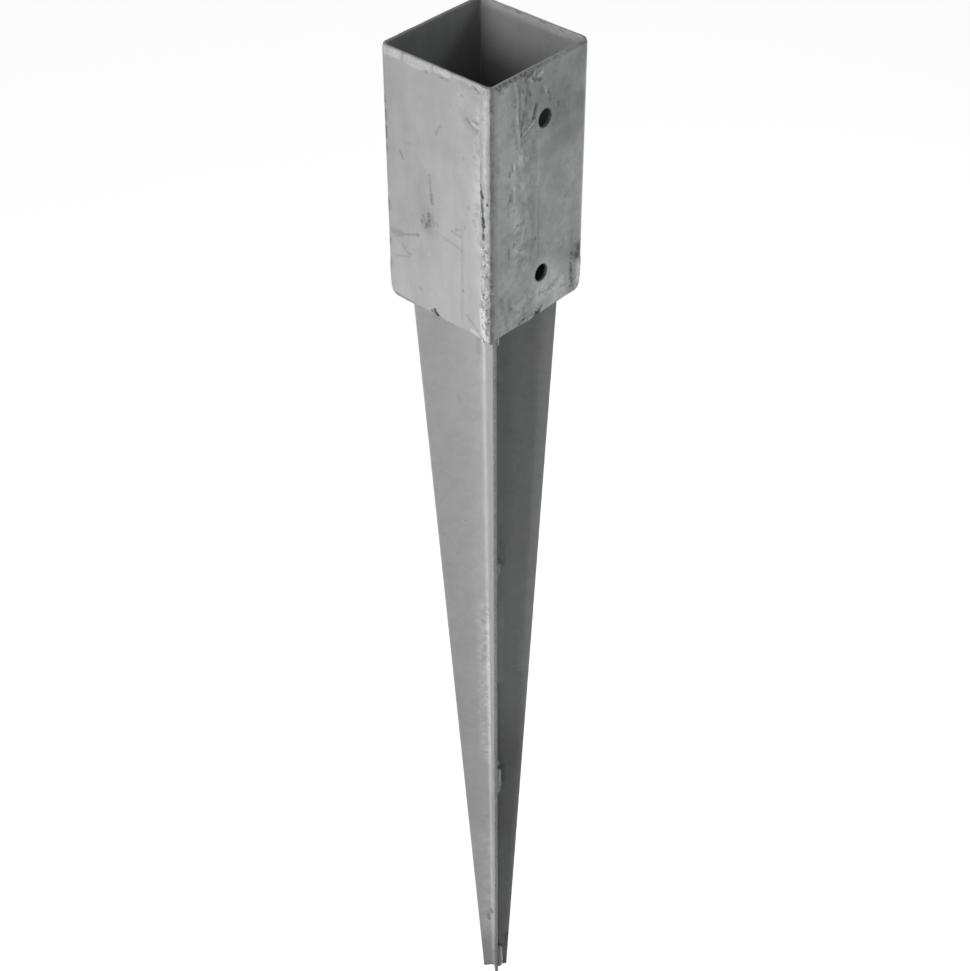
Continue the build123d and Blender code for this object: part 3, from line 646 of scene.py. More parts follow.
def scaled(tree, point, amount):
    return wire(tree, "ShaderNodeVectorMath", {0: point, "Scale": amount}, operation="SCALE").outputs[0]


def blend(tree, share, below, above):
    given = {"Factor": share, "A": below, "B": above}
    return wire(tree, "ShaderNodeMix", given, data_type="RGBA").outputs["Result"]


def fades(tree, value, start, end, low=0.0, high=1.0):
    """A smooth step from low to high while a value goes from start to end."""
    given = {"Value": value, "From Min": start, "From Max": end, "To Min": low, "To Max": high}
    return wire(tree, "ShaderNodeMapRange", given, interpolation_type="SMOOTHSTEP").outputs[0]


def clouds(tree, place, scale, detail, roughness, distortion=0.0):
    given = {"Vector": place, "Scale": scale, "Detail": detail, "Roughness": roughness,
             "Distortion": distortion}
    return wire(tree, "ShaderNodeTexNoise", given).outputs


number, vector, colored = "NodeSocketFloat", "NodeSocketVector", "NodeSocketColor"

# The coat of zinc: dull clouds a thumb wide, faint streaks where it ran off, and a fine grain
zinc_coat, given, result = new_group(
    "zinc_coat", {"Point": vector, "Dull": colored, "Bright": colored, "Cloud": number, "Grain": number,
                  "Uneven": number},
    {"Color": colored, "Roughness": number, "Height": number})
stretches = {"cloud": ((1, 1, 0.6), 3.0), "streak": ((2.4, 2.4, 0.16), 2.0), "grain": ((1, 1, 1), 2.0)}
layers = {}
for label, (stretch, detail) in stretches.items():
    size = given["Grain"] if label == "grain" else given["Cloud"]
    stretched = wire(zinc_coat, "ShaderNodeVectorMath", {0: given["Point"], 1: stretch},
                     operation="MULTIPLY").outputs[0]
    place = scaled(zinc_coat, stretched, reckon(zinc_coat, "DIVIDE", 1.0, size))
    cells = clouds(zinc_coat, place, scale=1.0, detail=detail, roughness=0.55)
    layers[label] = reckon(zinc_coat, "SUBTRACT", cells["Fac"], 0.5)
level = reckon(zinc_coat, "MULTIPLY_ADD", layers["streak"], 0.5, layers["cloud"])
level = reckon(zinc_coat, "MULTIPLY_ADD", layers["grain"], 0.3, level)
level = reckon(zinc_coat, "MULTIPLY_ADD", level, given["Uneven"], 0.5, clamp=True)
zinc_coat.links.new(blend(zinc_coat, level, given["Dull"], given["Bright"]), result["Color"])
zinc_coat.links.new(fades(zinc_coat, layers["cloud"], -0.2, 0.2, 0.66, 0.5), result["Roughness"])
swell = reckon(zinc_coat, "MULTIPLY", layers["cloud"], 3.0)
zinc_coat.links.new(reckon(zinc_coat, "MULTIPLY_ADD", layers["grain"], 0.4, swell), result["Height"])

# The marks painted on a piece: stains and painted shade darken the coat, and blooms of thick zinc and
# painted highlights whiten it, both broken up by a finer noise, and busy places are mottled, with dark
# and bright specks of spatter. The tone, partly painted light and shade, scales the coat
zinc_marks, given, result = new_group(
    "zinc_marks", {"Point": vector, "Marks": colored, "Tone": number, "Coat": colored, "Stain and shade": colored,
                   "Bloom and highlight": colored},
    {"Color": colored, "Height": number})
channels = wire(zinc_marks, "ShaderNodeSeparateColor", {"Color": given["Marks"]}).outputs
fleck = clouds(zinc_marks, given["Point"], scale=0.7, detail=3.0, roughness=0.6)
broken = fades(zinc_marks, fleck["Fac"], 0.3, 0.7, 0.6, 1.3)
lumps = clouds(zinc_marks, given["Point"], scale=0.2, detail=2.5, roughness=0.5)
pools = clouds(zinc_marks, given["Point"], scale=0.11, detail=3.0, roughness=0.6, distortion=1.2)
pooled = fades(zinc_marks, pools["Fac"], 0.42, 0.56, -0.13, 0.13)
mottle = reckon(zinc_marks, "ADD", reckon(zinc_marks, "SUBTRACT", lumps["Fac"], 0.5), pooled)
mottle = reckon(zinc_marks, "MULTIPLY", mottle, channels["Blue"])
bent = wire(zinc_marks, "ShaderNodeVectorMath", {0: given["Point"], 1: fleck["Color"]}, operation="ADD")
cells = wire(zinc_marks, "ShaderNodeTexVoronoi", {"Vector": bent.outputs[0], "Scale": 0.42}).outputs
speck = fades(zinc_marks, cells["Distance"], 0.34, 0.12)
chances = wire(zinc_marks, "ShaderNodeSeparateColor", {"Color": cells["Color"]}).outputs
crowd = reckon(zinc_marks, "MULTIPLY", channels["Blue"], channels["Blue"])
chosen = reckon(zinc_marks, "MULTIPLY", crowd, 0.16)
specks = {}
for chance in ("Red", "Green"):
    picked = reckon(zinc_marks, "LESS_THAN", chances[chance], chosen)
    specks[chance] = reckon(zinc_marks, "MULTIPLY", speck, picked)
stain_and_shade_share = reckon(zinc_marks, "MULTIPLY", channels["Red"], broken)
stain_and_shade_share = reckon(zinc_marks, "MULTIPLY_ADD", specks["Red"], 0.5, stain_and_shade_share, clamp=True)
bloom_and_highlight_share = reckon(zinc_marks, "MULTIPLY", channels["Green"], broken)
bloom_and_highlight_share = reckon(zinc_marks, "MULTIPLY_ADD", specks["Green"], 0.55, bloom_and_highlight_share, clamp=True)
shade = reckon(zinc_marks, "MULTIPLY", reckon(zinc_marks, "ADD", mottle, 1.0), given["Tone"])
mottled = scaled(zinc_marks, given["Coat"], shade)
color = blend(zinc_marks, bloom_and_highlight_share, mottled, given["Bloom and highlight"])
zinc_marks.links.new(blend(zinc_marks, stain_and_shade_share, color, given["Stain and shade"]), result["Color"])
relief = reckon(zinc_marks, "MULTIPLY_ADD", mottle, 2.0, bloom_and_highlight_share)
zinc_marks.links.new(reckon(zinc_marks, "SUBTRACT", relief, stain_and_shade_share), result["Height"])


def coat_of_zinc(name, dull, bright, cloud, grain, uneven, relief, bloom_and_highlight_tint=0.8, stain_and_shade_tint=0.10):
    """A material for one kind of piece: the coat, with the marks painted on the piece over it, painted
    shade and painted highlights among them.
    """
    material = bpy.data.materials.new(name)
    material.use_nodes = True
    tree = material.node_tree
    shader = tree.nodes["Principled BSDF"]
    shader.inputs["Specular IOR Level"].default_value = 0.3
    point = scaled(tree, tree.nodes.new("ShaderNodeTexCoord").outputs["Object"], 1000.0)
    coat = wire(tree, "ShaderNodeGroup", {
        "Point": point, "Dull": (*dull, 1), "Bright": (*bright, 1), "Cloud": cloud, "Grain": grain,
        "Uneven": uneven}, node_tree=zinc_coat).outputs
    painted = wire(tree, "ShaderNodeAttribute", {}, attribute_name="zinc_marks").outputs
    marks = wire(tree, "ShaderNodeGroup", {
        "Point": point, "Marks": painted["Color"], "Tone": painted["Alpha"], "Coat": coat["Color"],
        "Stain and shade": (stain_and_shade_tint, 1.05 * stain_and_shade_tint, 1.03 * stain_and_shade_tint, 1), "Bloom and highlight": (bloom_and_highlight_tint, bloom_and_highlight_tint, bloom_and_highlight_tint, 1)},
        node_tree=zinc_marks).outputs
    tree.links.new(marks["Color"], shader.inputs["Base Color"])
    tree.links.new(coat["Roughness"], shader.inputs["Roughness"])
    height = reckon(tree, "ADD", marks["Height"], coat["Height"])
    bump = wire(tree, "ShaderNodeBump", {"Height": height, "Strength": 1.0, "Distance": relief})
    tree.links.new(bump.outputs["Normal"], shader.inputs["Normal"])
    return material


def wear(piece, material):
    piece.data.materials.clear()
    piece.data.materials.append(material)


sleeve_zinc = coat_of_zinc("sleeve_zinc", dull=(0.385, 0.388, 0.387), bright=(0.50, 0.503, 0.502),
                           cloud=15.0, grain=0.9, uneven=1.4, relief=0.10 * mm, stain_and_shade_tint=0.08)
wear(sleeve, sleeve_zinc)
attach(sleeve, "root")
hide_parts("sleeve")

# Blades
# Two tapered sheets, each folded along its middle, stand back to back and make the four fins.
# They are welded on a few degrees off the sleeve's diagonals, and lean towards the right corner.
spike_length = 600.0 * mm
fin_top = wall + 2.5 * mm
fin_tip = 8.3 * mm
blade_sheet = 2.0 * mm
blade_spare = 1.0 * mm
fold_gap = 0.2 * mm
fold_outer = 4.0 * mm
fold_middle = 3.0 * mm
spike_turn = math.radians(4.0)
spike_lean = math.radians(0.56)
fin_columns = 30
fin_rows = 100
row_parts = 3
sheared_edge = 0.35 * mm
edge_zone = 1.2 * mm
tip_zone = 1.5 * mm
root = fin_top + (fin_top - fin_tip) / spike_length * blade_spare
fold_shift = (fold_gap / 2 - (math.sqrt(2) - 1) * fold_outer) / math.sqrt(2)
middle = fold_shift + blade_sheet / 2
seat = (Matrix.Rotation(front, 4, "Z") @ Matrix.Rotation(spike_lean, 4, "X")
        @ Matrix.Rotation(-front, 4, "Z") @ Matrix.Rotation(spike_turn, 4, "Z"))


def trim(piece, plane_at, plane_faces):
    """Cuts off what lies past a plane, and closes the cut."""
    edit(piece)
    bpy.ops.mesh.select_all(action="SELECT")
    bpy.ops.mesh.bisect(plane_co=plane_at, plane_no=plane_faces, clear_outer=True, use_fill=True)
    done()


def extrude(*step):
    bpy.ops.mesh.extrude_region_move(TRANSFORM_OT_translate={"value": step})


def copied(piece, name):
    """A copy of a piece with a mesh of its own."""
    twin = piece.copy()
    twin.data = piece.data.copy()
    twin.name = name
    bpy.context.collection.objects.link(twin)
    return twin


def is_level(edge):
    return abs(edge.verts[0].co.z - edge.verts[1].co.z) < hair


fin_middle = ((middle + root) / 2, middle, (blade_spare - spike_length) / 2)
bpy.ops.mesh.primitive_plane_add(size=1, location=fin_middle, rotation=(math.pi / 2, 0, 0))
blade_right = added("blade_right_sheet")
edit(blade_right)
bpy.ops.mesh.select_all(action="SELECT")
bpy.ops.transform.resize(value=(root - middle, 1, spike_length + blade_spare))
choose("EDGE", lambda edge: all(abs(vert.co.x - middle) < hair for vert in edge.verts))
extrude(0, root - middle, 0)
choose("EDGE", lambda edge: all(abs(vert.co.x - middle) + abs(vert.co.y - middle) < hair
                                for vert in edge.verts))
bpy.ops.mesh.bevel(offset=fold_middle, segments=8, affect="EDGES")
for axis in (0, 1):
    choose("VERT", lambda vert: vert.co.z < -spike_length + hair and vert.co[axis] > root - hair)
    bpy.ops.transform.translate(value=Vector((axis == 0, axis == 1, 0)) * (fin_tip - root))
choose("EDGE", lambda edge: is_level(edge) and edge.calc_length() > 2 * mm)
bpy.ops.mesh.subdivide(number_cuts=fin_columns - 1)
for parts in (fin_rows, row_parts):
    choose("EDGE", lambda edge: not is_level(edge))
    bpy.ops.mesh.subdivide(number_cuts=parts - 1)
bpy.ops.mesh.select_all(action="SELECT")
bpy.ops.mesh.normals_make_consistent(inside=False)
done()
apply_modifier(blade_right, "SOLIDIFY", thickness=blade_sheet, offset=0, use_even_offset=True)
edit(blade_right)
choose("EDGE", lambda edge: len(edge.link_faces) == 2 and edge.calc_face_angle() > sharp)
bpy.ops.mesh.bevel(offset=sheared_edge, segments=2, affect="EDGES")
bpy.ops.mesh.select_all(action="SELECT")
bpy.ops.mesh.normals_make_consistent(inside=False)
done()

# Sheared edges are never quite straight once zinc has run along them
spots = spots_of(blade_right)
taper = (fin_top - fin_tip) / spike_length
for axis in (0, 1):
    edge_at = fin_tip + (spots[:, 2] + spike_length) * taper
    at_edge = spots[:, axis] > edge_at - edge_zone
    spots[at_edge, axis] += 0.10 * mm * lumps_at(spots[at_edge] * [0, 0, 1], size=6, seed=41 + axis)
    near_edge = spots[:, axis] > edge_at - 2 * edge_zone
    sway = lumps_at(spots[near_edge] * [0, 0, 1], size=9, seed=47 + axis)
    spots[near_edge, 1 - axis] += 0.05 * mm * sway
at_tip = spots[:, 2] < -spike_length + tip_zone
spots[at_tip, 2] += 0.25 * mm * lumps_at(spots[at_tip] * [1, 1, 0], size=2.5, seed=44)
move_to(blade_right, spots)
blade_left = copied(blade_right, "blade_left_sheet")
for blade, opens in ((blade_left, math.pi), (blade_right, 0.0)):
    put(blade, seat @ Matrix.Rotation(opens - math.pi / 4, 4, "Z"))
    trim(blade, (0, 0, 0), (0, 0, 1))
    smooth(blade, 42)


def on_fin(angle, reach, side, z):
    """A point of a fin in millimetres, by reach from the axis, side of the sheet and height."""
    return tuple(seat @ Matrix.Rotation(angle, 4, "Z") @ (Vector((reach, side, z)) * mm) / mm)


def fin_side(angle, side):
    """The points of one side of a fin, by reach and height."""
    return lambda reach, z: on_fin(angle, reach, side, z)


fold_ripples = (-236, -243, -249, -258, -264, -275, -281, -292, -303, -311, -322, -331, -346, -358)
left_stains_and_shade = [
    *marks_on(fin_side(left, 1), [
        (4.5, -31, 4, -41, 2.2, 0.1, 0.22), (16, -70, 15.6, -74, 1.2, 0.2, 0.2),
        (15, -110, 14.6, -113, 1, 0.2, 0.16), (2.4, -535, 1.4, -538, 1.8, 0.3, 0.7),
        (4.8, -540, 4.2, -546, 1.6, 0.2, 0.55), (9, -598, 2, -599, 1.2, 0.2, 0.45),
    ]),
    # The front fin's end face is painted shade
    (on_fin(front, 39.8, -0.3, 0), on_fin(front, 8.6, -0.3, -598), 2, 0.3, 0.48),
]
left_blooms_and_highlights = [
    *marks_on(fin_side(left, 1), [
        # The first three marks, along the fold at 1.2 to 1.6 mm out, are a painted highlight
        (1.6, -240, 1.6, -380, 2.4, 0.3, 0.54), (1.4, -380, 1.2, -580, 2, 0.2, 0.3),
        (1.6, -4, 1.6, -60, 1.8, 0.2, 0.3), (5, -232, 5, -372, 5, 0.1, 0.26),
        (5.4, -540, 5.4, -546, 1.2, 0.2, 0.4),
    ]),
    *[(on_fin(left, 1.6, 1, ripple), on_fin(left, 8.4, 1, ripple + 1.4), 1.5, 0.1, 0.42)
      for ripple in fold_ripples],
    # A painted highlight along the fold on the front fin, and another along the front fin's outer edge
    (on_fin(front, 1.6, -2.6, -30), on_fin(front, 1.6, -2.6, -380), 1.6, 0.2, 0.3),
    (on_fin(front, 39.4, -2.1, -4), on_fin(front, 10, -2.1, -590), 0.7, 0.3, 0.14),
]
left_busy = marks_on(fin_side(left, 1), [
    (3, -236, 3, -372, 5, 0.4, 0.95), (4, -430, 5, -560, 7, 0.2, 0.34),
    (20, 0, 6, -600, 60, 0.9, 0.16),
])
# Painted light along the left fin's fold and low down on it, and painted shade at its tip
left_painted_light = marks_on(fin_side(left, 1), [
    (2, 0, 2, -400, 12, 0, 0.05), (8, -475, 6, -535, 46, 0.3, 0.14),
    (6, -580, 6, -600, 28, 0.2, -0.2),
])
right_stains_and_shade = [
    *marks_on(fin_side(right, -1), [
        (6.6, -168, 6.8, -182, 1.6, 0.3, 0.26), (7, -182, 8, -200, 2.6, 0.3, 0.3),
        (7.2, -382, 7, -398, 2.6, 0, 0.4), (9.4, -566, 9.4, -598, 5, 0.2, 0.66),
        (18, -124, 17.6, -134, 2, 0.1, 0.14), (12.4, -597, 7, -598, 1.6, 0.2, 0.5),
    ]),
    # The front fin's end face is painted shade
    (on_fin(front, 39.8, 0.3, 0), on_fin(front, 8.6, 0.3, -598), 2.2, 0.2, 0.5),
]
right_blooms = [
    (on_fin(right, 7.2, -1, -583), on_fin(right, 8.4, -1, -596), 1.4, 0.2, 0.3),
    (on_fin(front, 34.6, 1.2, -100), on_fin(front, 34.3, 1.2, -103), 1, 0.3, 0.7),
    (on_fin(front, 32.8, 1.6, -126), on_fin(front, 32.6, 1.6, -129), 1, 0.3, 0.6),
]
right_busy = [
    (on_fin(front, 39.8, 1.3, 0), on_fin(front, 8.6, 1.3, -598), 2.4, 0.5, 0.8),
    (on_fin(right, 20, -1, 0), on_fin(right, 6, -1, -600), 60, 0.9, 0.16),
]
# Painted light along the right fin's outer part and beside the groove, and painted shade over its lower
# part
right_painted_light = marks_on(fin_side(right, -1), [
    (38, 0, 25, -290, 10.5, 0.4, 0.21), (25, -300, 10, -585, 6, 0.1, 0.17),
    (4, 0, 4, -300, 6, 0.2, 0.36), (12, -385, 9, -600, 80, 0, -0.38),
])
blade_zinc = coat_of_zinc("blade_zinc", dull=(0.463, 0.466, 0.465), bright=(0.543, 0.546, 0.545),
                          cloud=22.0, grain=1.0, uneven=0.8, relief=0.04 * mm)
left_marks = (left_stains_and_shade, left_blooms_and_highlights, left_busy, left_painted_light)
right_marks = (right_stains_and_shade, right_blooms, right_busy, right_painted_light)
blades = {"blade_left": (blade_left, left_marks), "blade_right": (blade_right, right_marks)}
for node, (blade, marks) in blades.items():
    paint(blade, *marks)
    wear(blade, blade_zinc)
    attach(blade, "root")
    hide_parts(node)

# Seam weld
# One bead closes the sheet's two ends, full height, just before the bend of the front corner.
# It spattered near the foot and ran over the lower corner, where it hangs on as a lump.
seam_radius = 6.0 * mm
seam_proud = 0.5 * mm
seam_y = -33.2 * mm
seam_depth = 0.9 * mm
bend_radius = 3.55 * mm
seam_drop = 1.2 * mm
lump_radius = 2.4 * mm
flow_from = 50.4
bead_net = 0.4 * mm
cap_x = seam_radius - wall - seam_proud


def grown(name, parts):
    """Grows primitives together into one lump of weld metal with an even net."""
    piece = joined(parts)
    piece.name = name
    apply_modifier(piece, "REMESH", mode="VOXEL", voxel_size=bead_net)
    return piece


def roughen(piece, size, rise, seed, squash=(1, 1, 1)):
    """Moves each vert of a weld along its normal by smooth noise; a squash stretches the lumps."""
    spots = spots_of(piece)
    normals = np.array([vert.normal for vert in piece.data.vertices])
    move_to(piece, spots + normals * (rise * mm * lumps_at(spots * squash, size, seed))[:, None])


bpy.ops.mesh.primitive_cylinder_add(
    vertices=64, radius=seam_radius, depth=height, location=(cap_x, seam_y, height / 2))
bead = added("bead")
bend_x, bend_y = -flat - 0.3 * mm, -flat - 0.05 * mm
bpy.ops.mesh.primitive_cylinder_add(
    vertices=32, radius=bend_radius, depth=height, location=(bend_x, bend_y, height / 2))
flow = added("flow_over_bend")
lump_place = across(front) * (corner_reach - lump_radius) + Vector((0, 0, lump_radius - seam_drop))
bpy.ops.mesh.primitive_uv_sphere_add(segments=24, ring_count=16, radius=lump_radius, location=lump_place)
lump = added("lump")
trim(bead, (seam_depth - wall, 0, 0), (1, 0, 0))
trim(flow, across(front) * flow_from * mm, -across(front))
seam_weld = grown("seam_weld_bead", [bead, flow, lump])
roughen(seam_weld, 1.5, 0.20, 51)
roughen(seam_weld, 5.0, 0.20, 52, (1, 1, 0.6))
spots = spots_of(seam_weld)
low = np.clip((60 * mm - spots[:, 2]) / (20 * mm), 0, 1)
spots[:, :2] -= 0.5 * mm * (low * np.clip(lumps_at(spots, size=1.9, seed=53), 0, 1))[:, None]
spots[:, 2] = np.minimum(spots[:, 2], height - 0.1 * mm)
move_to(seam_weld, spots)
smooth(seam_weld, 60)


# The crack that the weld left open, and spatter over its lowest 60 mm
def seam_face(y, z):
    """A point of the bead's face, in millimetres."""
    return (-38, y, z)


crack = marks_on(seam_face, [
    (-31.3, 95.4, -31.8, 92, 1, 0.5, 0.8), (-31.6, 91.6, -32.4, 88.8, 1.6, 0.5, 1),
    (-32.2, 88, -31.9, 84.4, 0.9, 0.5, 0.85), (-32.3, 84, -32.5, 80.4, 1.2, 0.5, 0.9),
    (-32.7, 80, -32.6, 77, 0.8, 0.5, 0.8), (-32.8, 76.4, -33.4, 72.2, 1.6, 0.5, 1),
    (-33, 72, -33.1, 69.4, 0.9, 0.5, 0.85), (-33.3, 67.6, -33.2, 64.6, 1.2, 0.4, 0.9),
])
dice = random.Random(7)
spatter = {"dark": [], "bright": []}
for kind in ["dark"] * 70 + ["bright"] * 90:
    spot_y = dice.uniform(-36.0, -31.4)
    spot_z = dice.uniform(-1, 60)
    spot = (-38 + max(0, -34 - spot_y) * 0.3, spot_y, spot_z)
    other = (spot[0], spot_y + dice.uniform(-0.7, 0.7), spot_z + dice.uniform(-1.2, 1.2))
    spatter[kind].append((spot, other, dice.uniform(0.45, 0.95), 0.2, dice.uniform(0.3, 0.8)))
bead_stains_and_shade = crack + spatter["dark"] + [
    # Painted shade down the front bend, and a painted shadow line along the bead's left edge
    ((-36.4, -37.4, 150), (-36.2, -37.4, 0), 1.4, 0.2, 0.24),
    ((-38, -30.8, 140), (-38, -30.8, 98), 0.8, 0.3, 0.30),
    ((-37.6, -35.6, 86), (-37.6, -35.6, 85), 0.9, 0.4, 0.8),
]
bead_blooms = spatter["bright"] + [
    ((-38.1, -31.8, 21), (-38.1, -32.2, 12), 1.5, 0.2, 0.85),
    ((-38.1, -33.4, 20), (-38.2, -34.0, 3), 1.5, 0.3, 1.0),
    ((-38.2, -32.4, 8), (-38.2, -32.8, -1), 1.8, 0.2, 0.85),
    ((-38.2, -33.2, 58), (-38.2, -34, 20), 1.4, 0.1, 0.30),
    ((-38.2, -34.6, 148), (-38.2, -34.6, 46), 1.8, 0.3, 0.22),
]
bead_busy = [
    ((-37, -37, 150), (-37, -37, 0), 6, 0.5, 0.45), ((-37, -35, 60), (-37, -35, 0), 6, 0.5, 0.9),
    ((-37, -37, 150), (-37, -37, 136), 6, 0.3, 0.9),
]
paint(seam_weld, bead_stains_and_shade, bead_blooms, bead_busy, ragged=0.3)
weld_zinc = coat_of_zinc("weld_zinc", dull=(0.36, 0.363, 0.362), bright=(0.59, 0.593, 0.592),
                         cloud=3.0, grain=0.9, uneven=1.4, relief=0.16 * mm, bloom_and_highlight_tint=0.92, stain_and_shade_tint=0.05)
wear(seam_weld, weld_zinc)
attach(seam_weld, "root")
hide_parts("seam_weld")

# Corner welds
# At each of the other lower corners a short bead closes the gap between two flaps, round the corner
# and in under the base as far as the fin.
bead_rise = 22.0 * mm
bead_half = 2.1 * mm
bead_thick = 1.3 * mm
bead_proud = 0.25 * mm
bead_stop = fin_top + 0.2 * mm
bead_reach = corner_reach + bead_proud - bead_thick
bead_floor = bead_thick - bead_proud
corners = {"front": front, "left": left, "back": back, "right": right}
bpy.ops.mesh.primitive_circle_add(vertices=24, radius=bead_thick, fill_type="NGON",
                                  location=(bead_reach, 0, bead_rise - bead_thick))
corner_bead = added("corner_bead")
edit(corner_bead)
bpy.ops.mesh.select_all(action="SELECT")
bpy.ops.transform.resize(value=(1, bead_half / bead_thick, 1))
extrude(0, 0, corner_round - bead_rise + bead_thick)
bend_centre = (corner_reach - corner_round, 0, corner_round)
bpy.ops.mesh.spin(steps=8, angle=math.pi / 2, center=bend_centre, axis=(0, 1, 0))
extrude(bead_stop + bead_thick - corner_reach + corner_round, 0, 0)
bpy.ops.mesh.select_all(action="SELECT")
bpy.ops.mesh.remove_doubles(threshold=hair)
bpy.ops.mesh.normals_make_consistent(inside=False)
done()
ends = []
for place in ((bead_reach, 0, bead_rise - bead_thick), (bead_stop + bead_thick, 0, bead_floor)):
    bpy.ops.mesh.primitive_uv_sphere_add(segments=24, ring_count=12, radius=1, location=place,
                                         scale=(bead_thick, bead_half, bead_thick))
    ends.append(added("bead_end"))
corner_bead = grown("corner_weld_left_bead", [corner_bead, *ends])
corner_beads = {"left": corner_bead, "right": copied(corner_bead, "corner_weld_right_bead"),
                "back": copied(corner_bead, "corner_weld_back_bead")}
for seed, (corner, bead) in enumerate(corner_beads.items()):
    put(bead, Matrix.Rotation(corners[corner], 4, "Z"))
    roughen(bead, 1.8, 0.22, 61 + seed)
    roughen(bead, 6.0, 0.20, 71 + seed)
    smooth(bead, 60)
    paint(bead, stains_and_shade=[((34, -37.5, 33), (36, -36, 20), 3.6, 0.1, 0.9)],
          blooms_and_highlights=[((34, -37, 16), (34, -37, 4), 3.6, 0.5, 0.95)],
          busy=[((0, 0, 10), (0, 0, 10), 90, 0.9, 0.8)])
    wear(bead, weld_zinc)
    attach(bead, "root")
    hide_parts(f"corner_weld_{corner}")

# Base welds
# Along the top of each fin, on one side, a fillet holds it to the base. The end of the front one has
# run down its fin.
fillet_leg = 3.6 * mm
fillet_length = 20.0 * mm
fillet_end = fin_top - 2.0 * mm
run_start = 1.0 * mm
run_length = 12.5 * mm
run_radius = 2.0 * mm
face_side = 1.0 * mm


def rod(name, radius, start, end):
    """A round-ended rod of weld metal between two points."""
    start, end = Vector(start), Vector(end)
    run = end - start
    bpy.ops.mesh.primitive_uv_sphere_add(segments=24, ring_count=16, radius=radius)
    piece = added(name)
    edit(piece)
    choose("VERT", lambda vert: vert.co.z > hair)
    bpy.ops.transform.translate(value=(0, 0, run.length))
    done()
    return put(piece, Matrix.Translation(start) @ run.to_track_quat("Z", "Y").to_matrix().to_4x4())


for seed, (corner, angle) in enumerate(corners.items()):
    inner = (fillet_end - fillet_length + fillet_leg, face_side, 0)
    outer = (fillet_end - fillet_leg, face_side, 0)
    rods = [rod("fillet", fillet_leg, inner, outer)]
    if corner == "front":
        run_at = fillet_end - run_radius
        ends = [(run_at, face_side, at) for at in (-run_start, run_radius - run_length)]
        rods.append(rod("run", run_radius, *ends))
    fillet = grown(f"base_weld_{corner}_bead", rods)
    roughen(fillet, 2.2, 0.35, 81 + seed)
    trim(fillet, (0, 0, 0), (0, 0, 1))
    trim(fillet, (0, 0, 0), (0, -1, 0))
    put(fillet, Matrix.Rotation(spike_turn + angle, 4, "Z"))
    smooth(fillet, 60)
    paint(fillet, [], [])
    wear(fillet, weld_zinc)
    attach(fillet, "root")
    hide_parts(f"base_weld_{corner}")

# Ridge tacks
# Short welds down the two grooves between the folds hold the blades together. Zinc has gathered
# on the front ones and hangs from them in lumps against the right fin.
tack_length = 22.0 * mm
tack_radius = 2.4 * mm
tack_seat = 3.7 * mm
tack_first = 13.0 * mm
tack_last = spike_length - 12.0 * mm
grooves = {"front": math.radians(270), "back": math.radians(90)}
tack_zinc = {"front": (0.7, 0.7, 0.6, 0.2), "back": (0.2, 0.2, 0.2, 0.2)}
# Lumps of zinc beside the front tacks: reach along the right fin, side of it, heights and radius
tack_drips = {
    2: [(4.4, -3.8, -199, -205, 2.1)],
    3: [(3.2, -3.0, -376, -379, 1.1), (3.6, -3.4, -385, -400, 1.9)],
    4: [(3.2, -3.0, -577, -579, 1.1), (3.7, -3.0, -588, -594, 1.5)],
}
for side, angle in grooves.items():
    for number_down in range(1, 5):
        z = -(tack_first + (tack_last - tack_first) / 3 * (number_down - 1))
        half = tack_length / 2 - tack_radius
        place = seat @ Matrix.Rotation(angle, 4, "Z")
        ends = [place @ Vector((tack_seat, 0, at)) for at in (z - half, z + half)]
        rods = [rod("tack", tack_radius, *ends)]
        if side == "front":
            for reach, off, top, foot, radius in tack_drips.get(number_down, []):
                ends = [Vector(on_fin(right, reach, off, at)) * mm for at in (top, foot)]
                rods.append(rod("drip", radius * mm, *ends))
        tack = grown(f"ridge_tack_{side}_{number_down}_bead", rods)
        roughen(tack, 2.0, 0.35, 91 + number_down, (1, 1, 1.4))
        smooth(tack, 60)
        tack_middle = seat @ Vector((0, 0, z)) / mm
        gathered = tack_zinc[side][number_down - 1]
        paint(tack, [], [(tack_middle, tack_middle, 60, 0.9, gathered)])
        wear(tack, weld_zinc)
        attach(tack, "root")
        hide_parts(f"ridge_tack_{side}_{number_down}")

# Floor, lamps and camera
# A plain pale floor, three soft boxes on the left, a weak fill beside the camera and two boxes behind
# on the right.
floor_size = 40.0
floor_drop = 0.1 * mm
floor_glow = 0.93
ambient = 0.02
lamp_distance = 1.2


def seen_rays(tree):
    """1 for the rays that the camera sees by, straight, mirrored or through glass, and 0 for others."""
    path = tree.nodes.new("ShaderNodeLightPath").outputs
    seen = reckon(tree, "MAXIMUM", path["Is Camera Ray"], path["Is Glossy Ray"])
    return reckon(tree, "MAXIMUM", seen, path["Is Transmission Ray"])


bpy.ops.mesh.primitive_plane_add(size=floor_size, location=(0, 0, cad_low.z - floor_drop))
floor = added("floor")
floor_paint = bpy.data.materials.new("floor_paint")
floor_paint.use_nodes = True
tree = floor_paint.node_tree
shader = tree.nodes["Principled BSDF"]
shader.inputs["Base Color"].default_value = (0.35, 0.35, 0.35, 1)
shader.inputs["Roughness"].default_value = 0.9
shader.inputs["Specular IOR Level"].default_value = 0.0
strength = reckon(tree, "MULTIPLY", seen_rays(tree), floor_glow)
glow = wire(tree, "ShaderNodeEmission", {"Color": (1, 1, 1, 1), "Strength": strength})
both = wire(tree, "ShaderNodeAddShader", {0: shader.outputs[0], 1: glow.outputs[0]})
tree.links.new(both.outputs[0], tree.nodes["Material Output"].inputs["Surface"])
floor.data.materials.append(floor_paint)

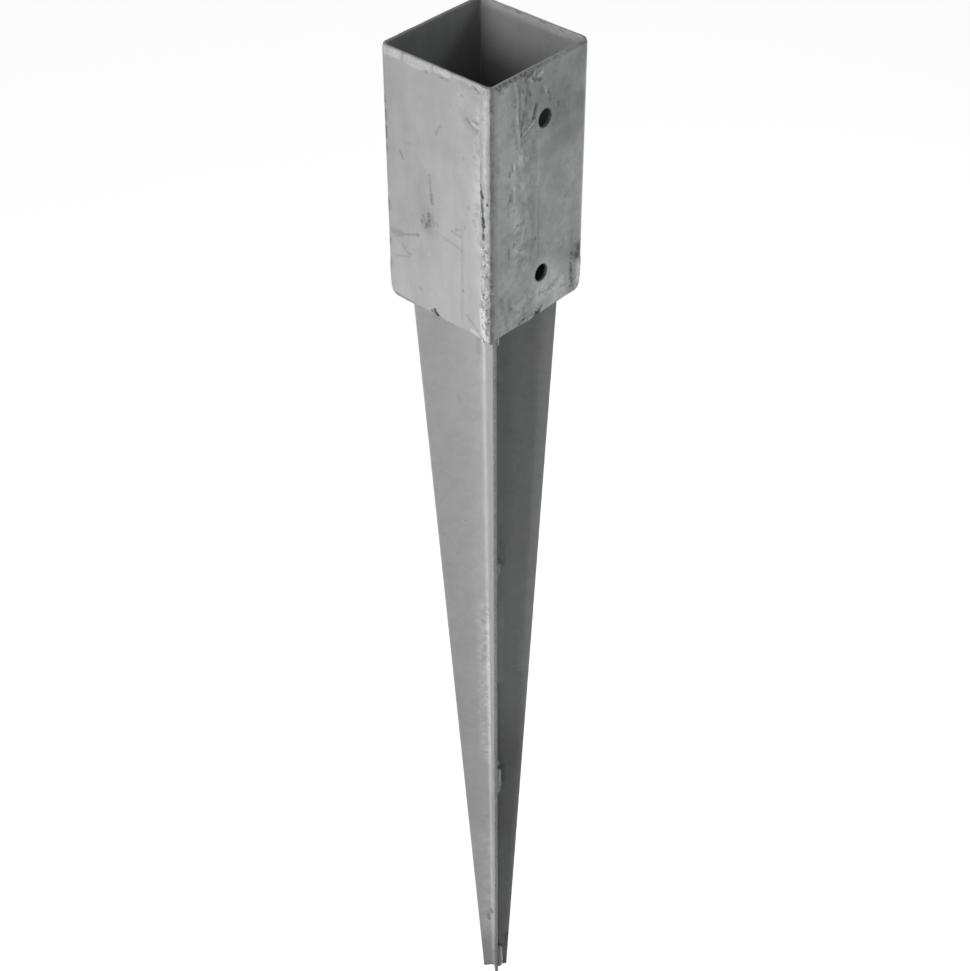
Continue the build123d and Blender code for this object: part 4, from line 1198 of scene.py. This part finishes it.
world = bpy.data.worlds.new("studio")
bpy.context.scene.world = world
world.use_nodes = True
tree = world.node_tree
strength = reckon(tree, "MULTIPLY_ADD", seen_rays(tree), 1 - ambient, ambient)
tree.nodes["Background"].inputs["Color"].default_value = (1, 1, 1, 1)
tree.links.new(strength, tree.nodes["Background"].inputs["Strength"])


def soft_box(name, angle, rise, width, tall, watts, tint=(1, 1, 1)):
    """A rectangular lamp that faces the object, at an angle from +X and a height."""
    lamp = bpy.data.lights.new(name, "AREA")
    lamp.shape = "RECTANGLE"
    lamp.size, lamp.size_y, lamp.energy, lamp.color = width, tall, watts, tint
    box = bpy.data.objects.new(name, lamp)
    bpy.context.collection.objects.link(box)
    place = across(math.radians(angle)) * lamp_distance + Vector((0, 0, rise))
    aim = Vector((0, 0, rise * 0.4 - 0.1))
    facing = (aim - place).to_track_quat("-Z", "Y")
    box.matrix_world = Matrix.Translation(place) @ facing.to_matrix().to_4x4()
    box.visible_camera = False


soft_box("key_low", 176, -0.45, 0.72, 0.5, 1.1)
soft_box("key_middle", 176, 0.15, 0.72, 0.6, 8.6)
soft_box("key_high", 172, 0.85, 0.72, 0.6, 3.4)
soft_box("fill", 212, 0.15, 0.4, 0.5, 0.9)
soft_box("back_low", 336, -0.35, 0.5, 0.6, 7.6, (0.95, 1.0, 0.99))
soft_box("back_high", 336, 1.1, 0.5, 0.6, 5.0, (0.94, 1.0, 0.99))

camera = bpy.data.cameras.new("camera")
camera.sensor_fit = "HORIZONTAL"
camera.sensor_width = 36
camera.lens = 71.444
camera.shift_x, camera.shift_y = 0.000945, -0.00461
viewer = bpy.data.objects.new("camera", camera)
bpy.context.collection.objects.link(viewer)
heading, pitch, roll = (math.radians(angle) for angle in (-47.508, 90 - 39.175, -0.192))
viewer.matrix_world = (
    Matrix.Translation((-0.65505, -0.598428, 0.587853)) @ Matrix.Rotation(heading, 4, "Z")
    @ Matrix.Rotation(pitch, 4, "X") @ Matrix.Rotation(roll, 4, "Z"))
bpy.context.scene.camera = viewer
bpy.context.scene.view_settings.view_transform = "Standard"
